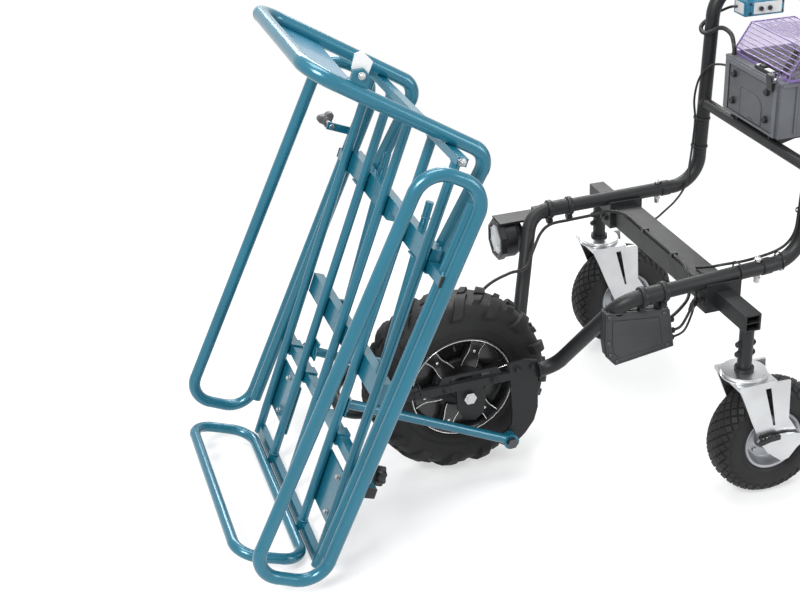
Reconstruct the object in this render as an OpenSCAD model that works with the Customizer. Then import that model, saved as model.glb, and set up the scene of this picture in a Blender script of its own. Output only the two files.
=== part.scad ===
// Battery wheelbarrow: a bar deck with side guards that tips forward over a hub-motor wheel.
// Millimetres. X runs back to the operator, Y to the operator's right, Z up, ground at Z = 0.
// The deck is drawn tipped, resting on the front bumper.

/* [Deck] */
// angle between the tipped deck and the ground
tray_tilt = 68.1; // [67.9:0.1:68.3]
// diameter of the long deck bars
deck_bar_d = 19; // [17:0.5:19]
// length of the deck bars between the end channels
deck_len = 854; // [850:1:858]
// spacing of the deck bars across the deck
deck_pitch = 130; // [129:1:131]
// side of the square tubes that carry the side guards
slide_size = 20; // [18:1:20]
// how far each side guard can be pushed in
slide_travel = 20; // [10:1:21]
// diameter of the side guard tubes
guard_d = 25; // [22:1:25]
// height of the side guards between rail centres
guard_h = 132; // [125:1:136]
// diameter of the front hoop tube
front_hoop_d = 22; // [20:1:22]
// diameter of the rear hoop tube
rear_hoop_d = 28; // [25:1:29]

/* [Front wheel] */
// outer diameter of the drive tyre
wheel_d = 406; // [396:2:408]
// width of the drive tyre
wheel_w = 113; // [100:1:115]
// outer diameter of the drive rim
rim_d = 226; // [220:2:232]
// diameter of the fixed axle
axle_d = 16; // [14:1:18]

/* [Casters] */
// distance of each caster from the middle
caster_y = 348; // [344:1:350]
// diameter of the caster tyres
caster_d = 257; // [250:1:258]
// width of the caster tyres
caster_w = 84; // [70:1:84]
// how far the caster wheel trails behind its swivel
caster_trail = 64; // [60:1:66]
// diameter of the caster rims
caster_rim_d = 130; // [120:2:134]

/* [Chassis] */
// diameter of the main and handle tubes
tube_d = 31; // [29:0.5:31]
// distance of the handle tubes from the middle
rail_y = 226; // [225:0.5:227]
// diameter of the bumper tube
bumper_d = 26; // [22:1:26]
// side of the square caster beam
beam_size = 36; // [34:1:36]
// diameter of the tilt pivot bolts
pivot_d = 12; // [10:1:13]

/* [Battery case] */
// length of the case front to back
case_len = 180; // [170:2:184]
// width of the case
case_w = 230; // [220:2:240]
// height of the case below its lid
case_h = 116; // [110:1:118]
// wall thickness of the case
case_wall = 4; // [3:0.5:5]
// height of the lid
lid_h = 66; // [55:1:68]

/* [Fits] */
// gap each side between parts that turn or slide in each other
run_gap = 0.05; // [0.02:0.01:0.09]
// gap between parts that only pass each other
pass_gap = 0.3; // [0.3:0.05:0.4]

/* [Hidden] */
$fn = 48;

// frame: half way between the front of the guards and the grips
middle_x = 231;

// where the deck plane starts, measured from the point under the drive axle
deck_x = -412.4;
deck_z = 13.9;

function unit(v) = v / norm(v);
function mix(a, b, t) = a + (b - a) * t;
function at_x(a, b, x) = mix(a, b, (x - a.x) / (b.x - a.x));
function side_of(s, p) = [p.x, s * p.y, p.z];
function turn_at(p, q, s) = acos(unit(q - p) * unit(s - q));
function trim_at(p, q, s, r) = r * tan(turn_at(p, q, s) / 2);

module placed() {
  translate([-middle_x, 0, 0])
    children();
}

module on_deck() {
  placed()
    translate([deck_x, 0, deck_z])
      rotate([0, -tray_tilt, 0])
        children();
}

module both_sides() {
  children();
  mirror([0, 1, 0])
    children();
}

// straight round bar from a to b
module rod(a, b, d) {
  v = b - a;
  translate(a)
    rotate([0, acos(v.z / norm(v)), atan2(v.y, v.x)])
      cylinder(h = norm(v), d = d);
}

// elbow of radius r at q, on the way from p to s
module elbow(p, q, s, d, r) {
  u = unit(q - p);
  v = unit(s - q);
  n = unit(v - u * (u * v));
  c = q - u * trim_at(p, q, s, r) + n * r;
  w = cross(-n, u);
  multmatrix([[-n.x, u.x, w.x, c.x], [-n.y, u.y, w.y, c.y], [-n.z, u.z, w.z, c.z]])
    rotate_extrude(angle = turn_at(p, q, s))
      translate([r, 0])
        circle(d = d + bend_swell);
}

// the straights run a little way into the bends, which are slightly thicker
bend_swell = 0.6;
bend_lap = 1;

// bent tube through the corners in pts, with one bend radius for each inner corner
module bent_tube(pts, d, radii) {
  last = len(pts) - 1;
  cut = [for (i = [0:last]) (i == 0 || i == last) ? 0
    : trim_at(pts[i - 1], pts[i], pts[i + 1], radii[i - 1])];
  for (i = [0:last - 1])
    rod(pts[i] + unit(pts[i + 1] - pts[i]) * max(cut[i] - bend_lap, 0),
        pts[i + 1] - unit(pts[i + 1] - pts[i]) * max(cut[i + 1] - bend_lap, 0), d);
  for (i = [1:last - 1])
    elbow(pts[i - 1], pts[i], pts[i + 1], d, radii[i - 1]);
}

// closed bent tube through the corners in pts
module bent_ring(pts, d, r) {
  n = len(pts);
  for (i = [0:n - 1]) {
    p = pts[(i + n - 1) % n];
    q = pts[i];
    s = pts[(i + 1) % n];
    t = pts[(i + 2) % n];
    elbow(p, q, s, d, r);
    rod(q + unit(s - q) * (trim_at(p, q, s, r) - bend_lap),
        s - unit(s - q) * (trim_at(q, s, t, r) - bend_lap), d);
  }
}

module block(from, to) {
  translate(from)
    cube(to - from);
}

// prism of an outline in X and Z, between two Y values
module slab(outline, y0, y1) {
  translate([0, y1, 0])
    rotate([90, 0, 0])
      linear_extrude(y1 - y0)
        polygon(outline);
}

// cylinder along Y between two Y values, centred on x and z
module y_cyl(x, z, y0, y1, d) {
  translate([x, y0, z])
    rotate([-90, 0, 0])
      cylinder(h = y1 - y0, d = d);
}

// hexagon along Y between two Y values
module y_hex(x, z, y0, y1, d) {
  translate([x, y0, z])
    rotate([-90, 0, 0])
      linear_extrude(y1 - y0)
        polygon([for (a = [0:60:300]) [d / 2 * cos(a), d / 2 * sin(a)]]);
}

// smooth cord through a few route points
function spline(a, b, c, d, t) =
  0.5 * (2 * b + (c - a) * t + (2 * a - 5 * b + 4 * c - d) * t * t
         + (3 * b - a - 3 * c + d) * t * t * t);
function route(pts, steps) = [
  for (i = [0:len(pts) - 2])
    for (j = [0:steps - 1])
      spline(pts[max(i - 1, 0)], pts[i], pts[i + 1], pts[min(i + 2, len(pts) - 1)], j / steps),
  pts[len(pts) - 1]];
function heading(path, i) = unit(path[min(i + 1, len(path) - 1)] - path[max(i - 1, 0)]);

// rings round a path; the size of ring i is radii[i]
module swept(path, radii, sides, ref) {
  rings = len(path);
  pts = [for (i = [0:rings - 1])
    let (t = heading(path, i), a = unit(cross(t, ref)), b = cross(a, t))
      for (k = [0:sides - 1])
        path[i] + radii[i] * (cos(360 * k / sides) * a + sin(360 * k / sides) * b)];
  skin = [for (i = [0:rings - 2])
    for (k = [0:sides - 1])
      let (p = i * sides + k, q = i * sides + (k + 1) % sides)
        [p, p + sides, q + sides, q]];
  ends = [[for (k = [0:sides - 1]) k],
          [for (k = [sides - 1:-1:0]) (rings - 1) * sides + k]];
  polyhedron(points = pts, faces = concat(skin, ends), convexity = 8);
}

module cord(pts, d, steps, ref) {
  path = route(pts, steps);
  swept(path, [for (p = path) d / 2], cord_sides, ref);
}
cord_sides = 8;
cord_ref = [0.31, 0.17, 0.93];

// chassis: two mirrored main tubes from the fork plates back to the joints
joint_x = 616;
joint_z = 452;
axle_z = wheel_d / 2;
tube_start = axle_z + 37;
main_path = [[150, 100, tube_start], [186, 100, tube_start], [273, 238, 441],
             [joint_x, rail_y, joint_z]];
main_bends = [45, 60];
sleeve_d = tube_d + 4;
front_sleeve = [312, 372];
joint_sleeve_len = 20;
slope_a = main_path[2];
slope_b = main_path[3];

module main_tube(d = tube_d) {
  bent_tube(main_path, d, main_bends);
  rod(at_x(slope_a, slope_b, front_sleeve[0]), at_x(slope_a, slope_b, front_sleeve[1]), d + 4);
  rod(at_x(slope_a, slope_b, joint_x - joint_sleeve_len), at_x(slope_a, slope_b, joint_x - 1), d + 4);
}

module main_tubes() {
  color("dimgray") placed() both_sides() difference() {
    main_tube();
    spigot();
    bolt_shank();
  }
}

// the handle tubes plug into the main tubes, with one upright bolt through each joint
spigot_d = 22;
spigot_len = 46;
bolt_d = 8;
bolt_head = [14, 5];
bolt_at = at_x(slope_a, slope_b, joint_x - 30);

module spigot() {
  rod(at_x(slope_a, slope_b, joint_x - spigot_len), slope_b, spigot_d);
}

module bolt_shank() {
  translate(bolt_at - [0, 0, sleeve_d / 2])
    cylinder(h = sleeve_d, d = bolt_d);
}

module frame_bolts() {
  color("silver") placed() both_sides() {
    bolt_shank();
    for (z = [-tube_d / 2 - bolt_head[1], tube_d / 2])
      translate(bolt_at + [0, 0, z])
        rotate([0, 0, 30])
          linear_extrude(bolt_head[1])
            polygon([for (a = [0:60:300]) bolt_head[0] / 2 * [cos(a), sin(a)]]);
  }
}

// handle tubes rise behind the joints and bend back to the grips
grip_end = [1001, rail_y, 935];
handle_top = [709, rail_y, 905];
grip_len = 120;
grip_d = tube_d + 7;
grip_cap = 4;
handle_path = [slope_b, at_x(slope_a, slope_b, 688), handle_top,
               at_x(handle_top, grip_end, grip_end.x - grip_cap)];
handle_bends = [70, 70];

module handle_tube() {
  bent_tube(handle_path, tube_d, handle_bends);
}

module handle_tubes() {
  color("dimgray") placed() both_sides() {
    handle_tube();
    difference() {
      spigot();
      bolt_shank();
    }
  }
}

module handle_grips() {
  color("black") placed() both_sides() difference() {
    rod(at_x(handle_top, grip_end, grip_end.x - grip_len), grip_end, grip_d);
    rod(handle_top, handle_path[3], tube_d);
  }
}

// lever clamps in front of the grips, each with a pivot pin on its inner side
clamp_x = [846, 866];
lever_pin = [856, 885];
lever_pin_d = 6;
lug_w = 6;
lever_w = 6;

module lever_clamp() {
  difference() {
    union() {
      rod(at_x(handle_top, grip_end, clamp_x[0]), at_x(handle_top, grip_end, clamp_x[1]), tube_d + 8);
      block([clamp_x[0], rail_y - lug_w / 2, lever_pin[1] - 8],
            [clamp_x[1], rail_y + lug_w / 2, lever_pin[1] + 30]);
    }
    rod(handle_top, grip_end, tube_d);
  }
  y_cyl(lever_pin[0], lever_pin[1], rail_y - lug_w / 2 - lever_w - 2, rail_y, lever_pin_d);
}

module lever_clamps() {
  color("black") placed() both_sides() lever_clamp();
}

lever_shape = [[-9, -6], [-2, -11], [20, -10], [60, -2], [112, 4], [130, 3], [131, 10], [112, 13],
               [60, 9], [20, 5], [2, 10], [-8, 7]];

module lever() {
  y1 = rail_y - lug_w / 2 - pass_gap;
  difference() {
    translate([lever_pin[0], 0, lever_pin[1]])
      slab(lever_shape, y1 - lever_w, y1);
    y_cyl(lever_pin[0], lever_pin[1], y1 - lever_w - 1, y1 + 1, lever_pin_d + 2 * run_gap);
  }
}

module drive_lever() {
  color("black") placed() lever();
}

module brake_lever() {
  color("silver") placed() mirror([0, 1, 0]) lever();
}

// switch box hung under the right handle
handle_box_from = [752, 166, 852];
handle_box_to = [850, 214, 884];

module handle_box() {
  color("steelblue") placed() difference() {
    union() {
      block(handle_box_from, handle_box_to);
      block([790, 196, handle_box_to.z], [826, 222, 906]);
    }
    translate([0, 0, 3])
      block(handle_box_from + [4, 4, 0], handle_box_to - [4, 4, 7]);
    handle_tube();
  }
}

// fork: side plates with the tilt pivot, bars over the axle, and the axle drop-outs
pivot = [81, 89];
plate_y = [94, 100];
bar_y = [90, 100];
bar_z = [axle_z + 25, axle_z + 43];
drop_y = [84, 90];
fork_outline = [[86, axle_z + 65], [120, axle_z + 68], [150, axle_z + 59], [150, 150], [141, 118],
                [120, 90], [97, 70], [76, 67], [62, 78], [64, 98], [80, 106], [90, 120], [92, 150]];
function above_axle(pts) = [for (p = pts) [p.x, axle_z + p.y]];
drop_outline = above_axle([[-28, 37], [26, 37], [38, 1], [30, -45], [12, -59], [-12, -53], [-26, -27]]);
strap_outline = above_axle([[-70, 41], [-58, 61], [62, 61], [74, 41]]);
strap_slot = above_axle([[-44, 46], [-44, 55], [46, 55], [46, 46]]);

module fork_side() {
  difference() {
    union() {
      slab(fork_outline, plate_y[0], plate_y[1]);
      block([-120, bar_y[0], bar_z[0]], [94, bar_y[1], bar_z[1]]);
      slab(drop_outline, drop_y[0], drop_y[1] + 2);
      difference() {
        slab(strap_outline, 92, 96);
        slab(strap_slot, 91, 97);
      }
    }
    y_cyl(0, axle_z, 0, 200, axle_d);
    y_cyl(pivot[0], pivot[1], 0, 200, pivot_d);
    block([-40, drop_y[1], axle_z - 60], [60, bar_y[1] + 1, bar_z[0]]);
  }
}

module fork_plates() {
  color("dimgray") placed() both_sides() fork_side();
}

bumper_y = 86;
bumper_z = axle_z + 1;
bumper_x = -258.5;
bumper_path = [[-108, bumper_y, tube_start], [bumper_x, bumper_y, bumper_z],
               [bumper_x, -bumper_y, bumper_z], [-108, -bumper_y, tube_start]];

module front_bumper() {
  color("dimgray") placed() difference() {
    bent_tube(bumper_path, bumper_d, [70, 70]);
    both_sides() fork_side();
  }
}

module front_axle() {
  color("silver") placed()
    y_cyl(0, axle_z, -bar_y[1], bar_y[1], axle_d);
}

module axle_nuts() {
  color("silver") placed() both_sides() difference() {
    y_hex(0, axle_z, drop_y[1], bar_y[1] - 1, 28);
    y_cyl(0, axle_z, 0, 200, axle_d);
  }
}

eye_y = [101, 121];
pivot_head = [24, 8];

module pivot_bolts() {
  color("silver") placed() both_sides() {
    y_cyl(pivot[0], pivot[1], plate_y[0] - pivot_head[1], eye_y[1] + 2 * pass_gap, pivot_d);
    y_hex(pivot[0], pivot[1], plate_y[0] - pivot_head[1], plate_y[0], pivot_head[0]);
    y_hex(pivot[0], pivot[1], eye_y[1] + pass_gap, eye_y[1] + pass_gap + pivot_head[1], pivot_head[0]);
  }
}

// drive wheel, drawn about its own axle and set up at the axle height
module at_axle() {
  placed()
    translate([0, 0, axle_z])
      rotate([90, 0, 0])
        children();
}

bead_w = 92;

module front_tyre() {
  r = wheel_d / 2;
  w = wheel_w / 2;
  color("black") at_axle() rotate_extrude()
    polygon([[rim_d / 2, -bead_w / 2], [rim_d / 2 + 20, -w + 4], [r - 45, -w], [r - 20, -w + 6],
             [r - 5, -w + 22], [r, -w + 40], [r, w - 40], [r - 5, w - 22], [r - 20, w - 6],
             [r - 45, w], [rim_d / 2 + 20, w - 4], [rim_d / 2, bead_w / 2]]);
}

hub_d = 124;
rim_band = 14;
spoke_w = 9;
spoke_depth = 56;
spoke_gap = 28;
spoke_pairs = 6;
first_spoke = 8;

module front_rim() {
  color("dimgray") at_axle() rotate([0, 0, first_spoke]) {
    rotate_extrude()
      translate([rim_d / 2 - rim_band, -bead_w / 2])
        square([rim_band, bead_w]);
    rotate_extrude()
      translate([hub_d / 2, -spoke_depth / 2])
        square([6, spoke_depth]);
    for (i = [0:spoke_pairs - 1])
      rotate([0, 0, i * 360 / spoke_pairs])
        for (s = [-1, 1])
          translate([hub_d / 2 + 1, s * spoke_gap / 2 - spoke_w / 2, -spoke_depth / 2])
            cube([rim_d / 2 - rim_band - hub_d / 2 + 2, spoke_w, spoke_depth]);
  }
}

module hub_motor() {
  color("gray") at_axle() rotate_extrude()
    polygon([[axle_d / 2 + run_gap, -46], [20, -46], [24, -38], [hub_d / 2, -30],
             [hub_d / 2, 30], [24, 38], [20, 46], [axle_d / 2 + run_gap, 46]]);
}

// caster beam under the main tubes, with a pull-out extension at each end
beam_x = 496.5;
tube_z_at_beam = at_x(slope_a, slope_b, beam_x).z;
beam_top = tube_z_at_beam - tube_d / 2;
beam_z = beam_top - 22;
channel_h = 44;
channel_w = 60;
socket_y = [205, 250];
socket_x = 40;
socket_low = beam_z - 28;
socket_top = beam_top + 12;
ext_y = [120, 368];
ext_wall = 4;
leg_d = 30;
swivel_z = 297;
flange_d = 40;
flange_t = 6;
stem_d = 16;
stem_len = 44;

module cross_beam() {
  color("dimgray") placed() difference() {
    union() {
      block([beam_x - channel_w / 2, -socket_y[1], beam_z - channel_h / 2],
            [beam_x + channel_w / 2, socket_y[1], beam_z + channel_h / 2]);
      both_sides()
        block([beam_x - socket_x, socket_y[0], socket_low], [beam_x + socket_x, socket_y[1], socket_top]);
    }
    block([beam_x - beam_size / 2, -400, beam_z - beam_size / 2],
          [beam_x + beam_size / 2, 400, beam_z + beam_size / 2]);
    both_sides() main_tube();
  }
}

module extension() {
  half = beam_size / 2;
  difference() {
    union() {
      block([beam_x - half, ext_y[0], beam_z - half], [beam_x + half, ext_y[1], beam_z + half]);
      translate([beam_x, caster_y, swivel_z])
        cylinder(h = beam_z - half - swivel_z + 1, d = leg_d);
      translate([beam_x, caster_y, swivel_z])
        cylinder(h = flange_t, d = flange_d);
    }
    for (s = [-1, 1])
      translate([0, 0, s * (half / 2 - 1)])
        block([beam_x - half + ext_wall, ext_y[1] - 30, beam_z - half / 2 + ext_wall / 2],
              [beam_x + half - ext_wall, ext_y[1] + 1, beam_z + half / 2 - ext_wall / 2]);
    translate([beam_x, caster_y, swivel_z - 1])
      cylinder(h = stem_len + 2, d = stem_d + 2 * run_gap);
  }
}

module beam_extensions() {
  color("dimgray") placed() both_sides() extension();
}

// casters, drawn for the right side about their own swivel
race_d = 91;
race_t = 11;
cheek_y = [46, 52];
wheel_z = caster_d / 2;
caster_axle_d = 12;
caster_head = [20, 5];
cheek_outline = [[-38, 284], [80, 280], [84, 190], [110, 150], [106, 130], [88, 116], [64, 106],
                 [42, 112], [22, 142], [-4, 200]];
cheek_window = [[22, 272], [35, 272], [42, 236], [53, 180], [48, 180]];
brake_pin = [96, 140];
brake_pin_d = 8;

module at_caster() {
  placed()
    translate([beam_x, caster_y, 0])
      children();
}

module at_left() {
  mirror([0, 1, 0])
    children();
}

module caster_fork() {
  color("gainsboro") at_caster() difference() {
    union() {
      translate([0, 0, swivel_z - pass_gap - race_t])
        cylinder(h = race_t, d = race_d);
      translate([0, 0, swivel_z - pass_gap - 1])
        cylinder(h = stem_len, d = stem_d);
      block([-38, -cheek_y[1], 278], [48, cheek_y[1], 287]);
      both_sides() slab(cheek_outline, cheek_y[0], cheek_y[1]);
    }
    slab(cheek_window, -cheek_y[1] - 1, cheek_y[1] + 1);
    y_cyl(caster_trail, wheel_z, -100, 100, caster_axle_d);
    y_cyl(brake_pin[0], brake_pin[1], 0, 100, brake_pin_d + 2 * run_gap);
  }
}

module caster_axle() {
  color("silver") at_caster() {
    y_cyl(caster_trail, wheel_z, -cheek_y[1], cheek_y[1], caster_axle_d);
    both_sides()
      y_hex(caster_trail, wheel_z, cheek_y[1], cheek_y[1] + caster_head[1], caster_head[0]);
  }
}

module on_caster_axle() {
  at_caster()
    translate([caster_trail, 0, wheel_z])
      rotate([90, 0, 0])
        children();
}

module caster_tyre() {
  r = caster_d / 2;
  w = caster_w / 2;
  i = caster_rim_d / 2;
  color("black") on_caster_axle() rotate_extrude()
    polygon([[i, -w + 12], [i + 14, -w + 3], [r - 30, -w], [r - 12, -w + 5], [r - 3, -w + 15],
             [r, -w + 28], [r, w - 28], [r - 3, w - 15], [r - 12, w - 5], [r - 30, w],
             [i + 14, w - 3], [i, w - 12]]);
}

module caster_rim() {
  i = caster_rim_d / 2;
  w = caster_w / 2 - 12;
  color("gray") on_caster_axle() rotate_extrude()
    polygon([[caster_axle_d / 2 + run_gap, -45], [20, -45], [23, -8], [i - 12, -8], [i - 8, -w],
             [i, -w], [i, w], [i - 8, w], [i - 12, 8], [23, 8], [20, 45],
             [caster_axle_d / 2 + run_gap, 45]]);
}

pedal_outline = [[-90, 17], [-60, 21], [-20, 20], [12, 14], [24, 4], [24, -8], [8, -20], [-10, -42],
                 [-26, -46], [-50, -27], [-78, 4]];
pedal_y = cheek_y[1] + caster_head[1] + 1;
pedal_t = 4;

module brake_pedal() {
  color("gainsboro") at_caster() {
    translate([brake_pin[0], 0, brake_pin[1]])
      slab(pedal_outline, pedal_y, pedal_y + pedal_t);
    y_cyl(brake_pin[0], brake_pin[1], cheek_y[1] + pass_gap, pedal_y + 1, 2 * brake_pin_d);
    y_cyl(brake_pin[0], brake_pin[1], cheek_y[0], pedal_y, brake_pin_d);
  }
}

module right_caster_fork() { caster_fork(); }
module left_caster_fork() { at_left() caster_fork(); }
module right_caster_axle() { caster_axle(); }
module left_caster_axle() { at_left() caster_axle(); }
module right_caster_tyre() { caster_tyre(); }
module left_caster_tyre() { at_left() caster_tyre(); }
module right_caster_rim() { caster_rim(); }
module left_caster_rim() { at_left() caster_rim(); }
module right_brake_pedal() { brake_pedal(); }
module left_brake_pedal() { at_left() brake_pedal(); }

// battery case on a shelf between the handle tubes
shelf_x = 694;
shelf_z = 650;
shelf_d = 25;
case_x = 681;
case_z = 676;
case_top = case_z + case_h;
shelf_t = 6;

module battery_shelf() {
  color("dimgray") placed() difference() {
    union() {
      y_cyl(shelf_x, shelf_z, -rail_y, rail_y, shelf_d);
      block([case_x + 6, -case_w / 2 + 8, case_z - shelf_t],
            [case_x + case_len - 6, case_w / 2 - 8, case_z]);
      for (y = [-70, 64])
        slab([[shelf_x - 6, shelf_z], [case_x + 8, case_z - 1], [case_x + case_len - 20, case_z - 1],
              [shelf_x + 10, shelf_z - 8]], y, y + 6);
    }
    both_sides() handle_tube();
  }
}

hinge_x = case_x + case_len + 8;
hinge_z = case_top + 4;
hinge_pin_d = 5;

module battery_case() {
  half = case_w / 2;
  color("gray") placed() {
    difference() {
      block([case_x, -half, case_z], [case_x + case_len, half, case_top]);
      block([case_x + case_wall, -half + case_wall, case_z + case_wall],
            [case_x + case_len - case_wall, half - case_wall, case_top + 1]);
    }
    block([case_x, -half, case_top - case_wall], [lid_x + case_wall, half, case_top]);
    both_sides() {
      slab([[case_x + case_len - 1, case_top - 20], [case_x + case_len - 1, case_top - 6],
            [hinge_x - 5, hinge_z + 4], [hinge_x + 5, hinge_z + 4], [hinge_x + 5, hinge_z - 5]], 60, 66);
      y_cyl(hinge_x, hinge_z, 44, 61, hinge_pin_d);
    }
  }
}

panel_t = 3;
panel_y = case_w / 2 - 27;
panel_z = [case_z + 6, case_top - 14];

module battery_panel() {
  color("gray") placed()
    block([case_x - panel_t, -panel_y, panel_z[0]], [case_x, panel_y, panel_z[1]]);
}

screw_d = 14;
screw_len = 7;
screw_yz = [for (s = [-1, 1], z = [case_z + 29, case_z + 88]) [s * (case_w / 2 - 48), z]];

module case_screws() {
  color("black") placed()
    for (p = screw_yz)
      translate([case_x - panel_t - screw_len, p[0], p[1]])
        rotate([0, 90, 0])
          cylinder(h = screw_len, d = screw_d);
}

pack_size = [case_len - 30, case_w / 2 - 19, case_h - 18];

module battery_packs() {
  color("black") placed() both_sides() {
    block([case_x + 14, 8, case_z + case_wall],
          [case_x + 14 + pack_size.x, 8 + pack_size.y, case_z + case_wall + pack_size.z]);
    block([case_x + 60, 40, case_z + case_wall + pack_size.z - 1],
          [case_x + 120, 72, case_z + case_wall + pack_size.z + 8]);
  }
}

// the lid turns on the pins at the back of the case
lid_x = case_x + 20;
lid_z = case_top + pass_gap;
lid_half = case_w / 2 - 5;

module lid_outline(inset) {
  polygon([[lid_x + inset, lid_z - (inset > 0 ? 1 : 0)], [lid_x + inset, lid_z + 16],
           [lid_x + 34 + inset / 2, lid_z + lid_h - inset],
           [case_x + case_len - 20 - inset / 2, lid_z + lid_h - inset],
           [case_x + case_len - inset, lid_z + 20],
           [case_x + case_len - inset, lid_z - (inset > 0 ? 1 : 0)]]);
}

module battery_lid() {
  color("plum") placed() {
    difference() {
      translate([0, lid_half, 0])
        rotate([90, 0, 0])
          linear_extrude(2 * lid_half)
            lid_outline(0);
      translate([0, lid_half - 3, 0])
        rotate([90, 0, 0])
          linear_extrude(2 * lid_half - 6)
            lid_outline(3);
    }
    both_sides() difference() {
      union() {
        y_cyl(hinge_x, hinge_z, 46, 59.5, 11);
        block([case_x + case_len - 1, 46, hinge_z - 3], [hinge_x, 59.5, hinge_z + 5.5]);
      }
      y_cyl(hinge_x, hinge_z, 40, 70, hinge_pin_d + 2 * run_gap);
    }
    for (y = [latch_y[0] - latch_lug, latch_y[1]])
      block([latch_pivot[0] - 5, y, lid_z + 2], [lid_x + 1, y + latch_lug, lid_z + 13]);
    y_cyl(latch_pivot[0], latch_pivot[1], latch_y[0] - 1, latch_y[1] + 1, latch_pivot_d);
  }
}

// hook on the front edge of the lid
latch_y = [19 - case_w / 2, 39 - case_w / 2];
latch_lug = 5;
latch_pivot = [case_x - 8, lid_z + 8];
latch_pivot_d = 5;
latch_outline = [[-8, -2], [-7, 7], [2, 8], [7, 2], [6, -6], [2, -14], [0, -26], [-4, -26]];

module lid_latch() {
  color("black") placed() difference() {
    translate([latch_pivot[0], 0, latch_pivot[1]])
      slab(latch_outline, latch_y[0] + pass_gap, latch_y[1] - pass_gap);
    y_cyl(latch_pivot[0], latch_pivot[1], latch_y[0], latch_y[1], latch_pivot_d + 2 * run_gap);
  }
}

// motor control box hung under the left main tube, in two half shells
box_outline = [[240, 419], [380, 403], [393, 317], [262, 300], [245, 320], [240, 352]];
box_inner = [[243, 415.5], [377.3, 400.2], [389.5, 319.5], [263.5, 303.5], [248, 321.5], [243, 352.5]];
box_y = [212, 229, 238];
box_wall = 3;

// the front bend of the left main tube, thickened by extra, as three straight pieces
box_clear = 5;
bend_chords = [main_path[1], [258.8, 215.8, 408.3], [280.6, 231.5, 432.4], [315, 236.5, 442.3]];

module near_bend(extra) {
  for (i = [0:2])
    rod(bend_chords[i], bend_chords[i + 1], tube_d + extra + i * 0.1);
  for (i = [1:2])
    translate(bend_chords[i])
      sphere(d = tube_d + extra + 2);
}

module control_box_base() {
  color("dimgray") placed() at_left() difference() {
    union() {
      slab(box_outline, box_y[0], box_y[1]);
      for (x = [316, 352])
        block([x, 222, 398], [x + 14, box_y[1] - pass_gap, 434]);
    }
    slab(box_inner, box_y[0] + box_wall, box_y[1] + 1);
    near_bend(box_clear);
    rod(at_x(slope_a, slope_b, front_sleeve[0]), at_x(slope_a, slope_b, front_sleeve[1]), tube_d + 4);
  }
}

module control_box_cover() {
  color("dimgray") placed() at_left() difference() {
    slab(box_outline, box_y[1], box_y[2]);
    slab(box_inner, box_y[1] - 1, box_y[2] - box_wall);
    near_bend(box_clear);
  }
}

module motor_controller() {
  color("silver") placed() at_left() {
    block([272, box_y[0] + box_wall, 322], [372, box_y[1] + 2, 384]);
    for (x = [280:12:364])
      block([x, box_y[1] + 1, 326], [x + 3, box_y[1] + 5, 380]);
  }
}

// headlight beside the front bend of the right main tube
lamp = [206, 266, 376];
lamp_d = 88;
lamp_len = 62;

module lamp_axis() {
  placed()
    translate(lamp)
      rotate([0, 90, 0])
        children();
}

module headlight_housing() {
  color("black") lamp_axis() rotate_extrude()
    polygon([[0, 6], [lamp_d / 2 - 5, 6], [lamp_d / 2 - 5, 0], [lamp_d / 2, 0], [lamp_d / 2, 30],
             [lamp_d / 2 - 10, 46], [16, lamp_len], [0, lamp_len]]);
}

module headlight_lens() {
  color("white") lamp_axis() translate([0, 0, 1])
    cylinder(h = 5, d = lamp_d - 10);
}

module headlight_bracket() {
  color("silver") placed() difference() {
    union() {
      block([200, 240, lamp.z + lamp_d / 2 - 1], [312, 292, lamp.z + lamp_d / 2 + 4]);
      block([282, 240, lamp.z + lamp_d / 2], [306, 258, 446]);
    }
    translate(lamp)
      rotate([0, 90, 0])
        cylinder(h = lamp_len, d = lamp_d);
    main_tube();
  }
}

// cords, all clipped to the frame
motor_cord_d = 7;
motor_route = [[0, 72, axle_z + axle_d / 2], [10, 73, 244], [46, 78, 300], [108, 90, 354],
               [170, 116, 362], [220, 140, 356], [250, 166, 384], [280, 196, 406], [312, 214, 415],
               [360, 218, 416], [415, 212, 421], [440, 200, 430], [458, 172, 437.5], [471, 140, 437],
               [471, 70, 437], [471, -80, 437], [470, -125, 437.5], [461, -155, 438],
               [454, -182, 426], [440, -206, 404], [414, -222, 390], [386.4, -225, 372]];

module motor_cable() {
  color("black") placed()
    cord(motor_route, motor_cord_d, 4, cord_ref);
}

// from the beam up the left handle to the brake lever
handle_cord_d = 6;
handle_route = [[487, -150, 436], [500, -186, 452], [520, -205, 462], [560, -210.5, 464],
                [605, -208, 466], [640, -210, 474], [660, -218, 492], [670, -225, 520],
                [673.5, -226, 560], [677.5, -226, 650], [682.5, -226, 760], [686.5, -226, 840],
                [689.5, -226, 890], [700, -226, 918], [722, -226, 927], [760, -226, 930],
                [843.5, -226, 939]];

module handle_cable() {
  color("black") placed()
    cord(handle_route, handle_cord_d, 4, [0.4, 0.9, 0.1]);
}

// from the beam up the right handle into the side of the case
battery_cord_d = 5;
battery_route = [[531, 160, 412], [556, 172, 404], [590, 194, 408], [622, 204, 424],
                 [643, 204.3, 450], [654, 206, 478], [661, 215, 500], [668, 222, 524],
                 [673.5, 226, 560], [676, 226, 610], [671, 226, 655], [675, 223, 695],
                 [681, 210, 724], [691, 188, 746], [700, 150, 756], [706, 113, 756]];

module battery_cable() {
  color("black") placed() difference() {
    cord(battery_route, battery_cord_d, 4, cord_ref);
    block([case_x, -case_w / 2, case_z], [case_x + case_len, case_w / 2, case_top]);
  }
}

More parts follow.
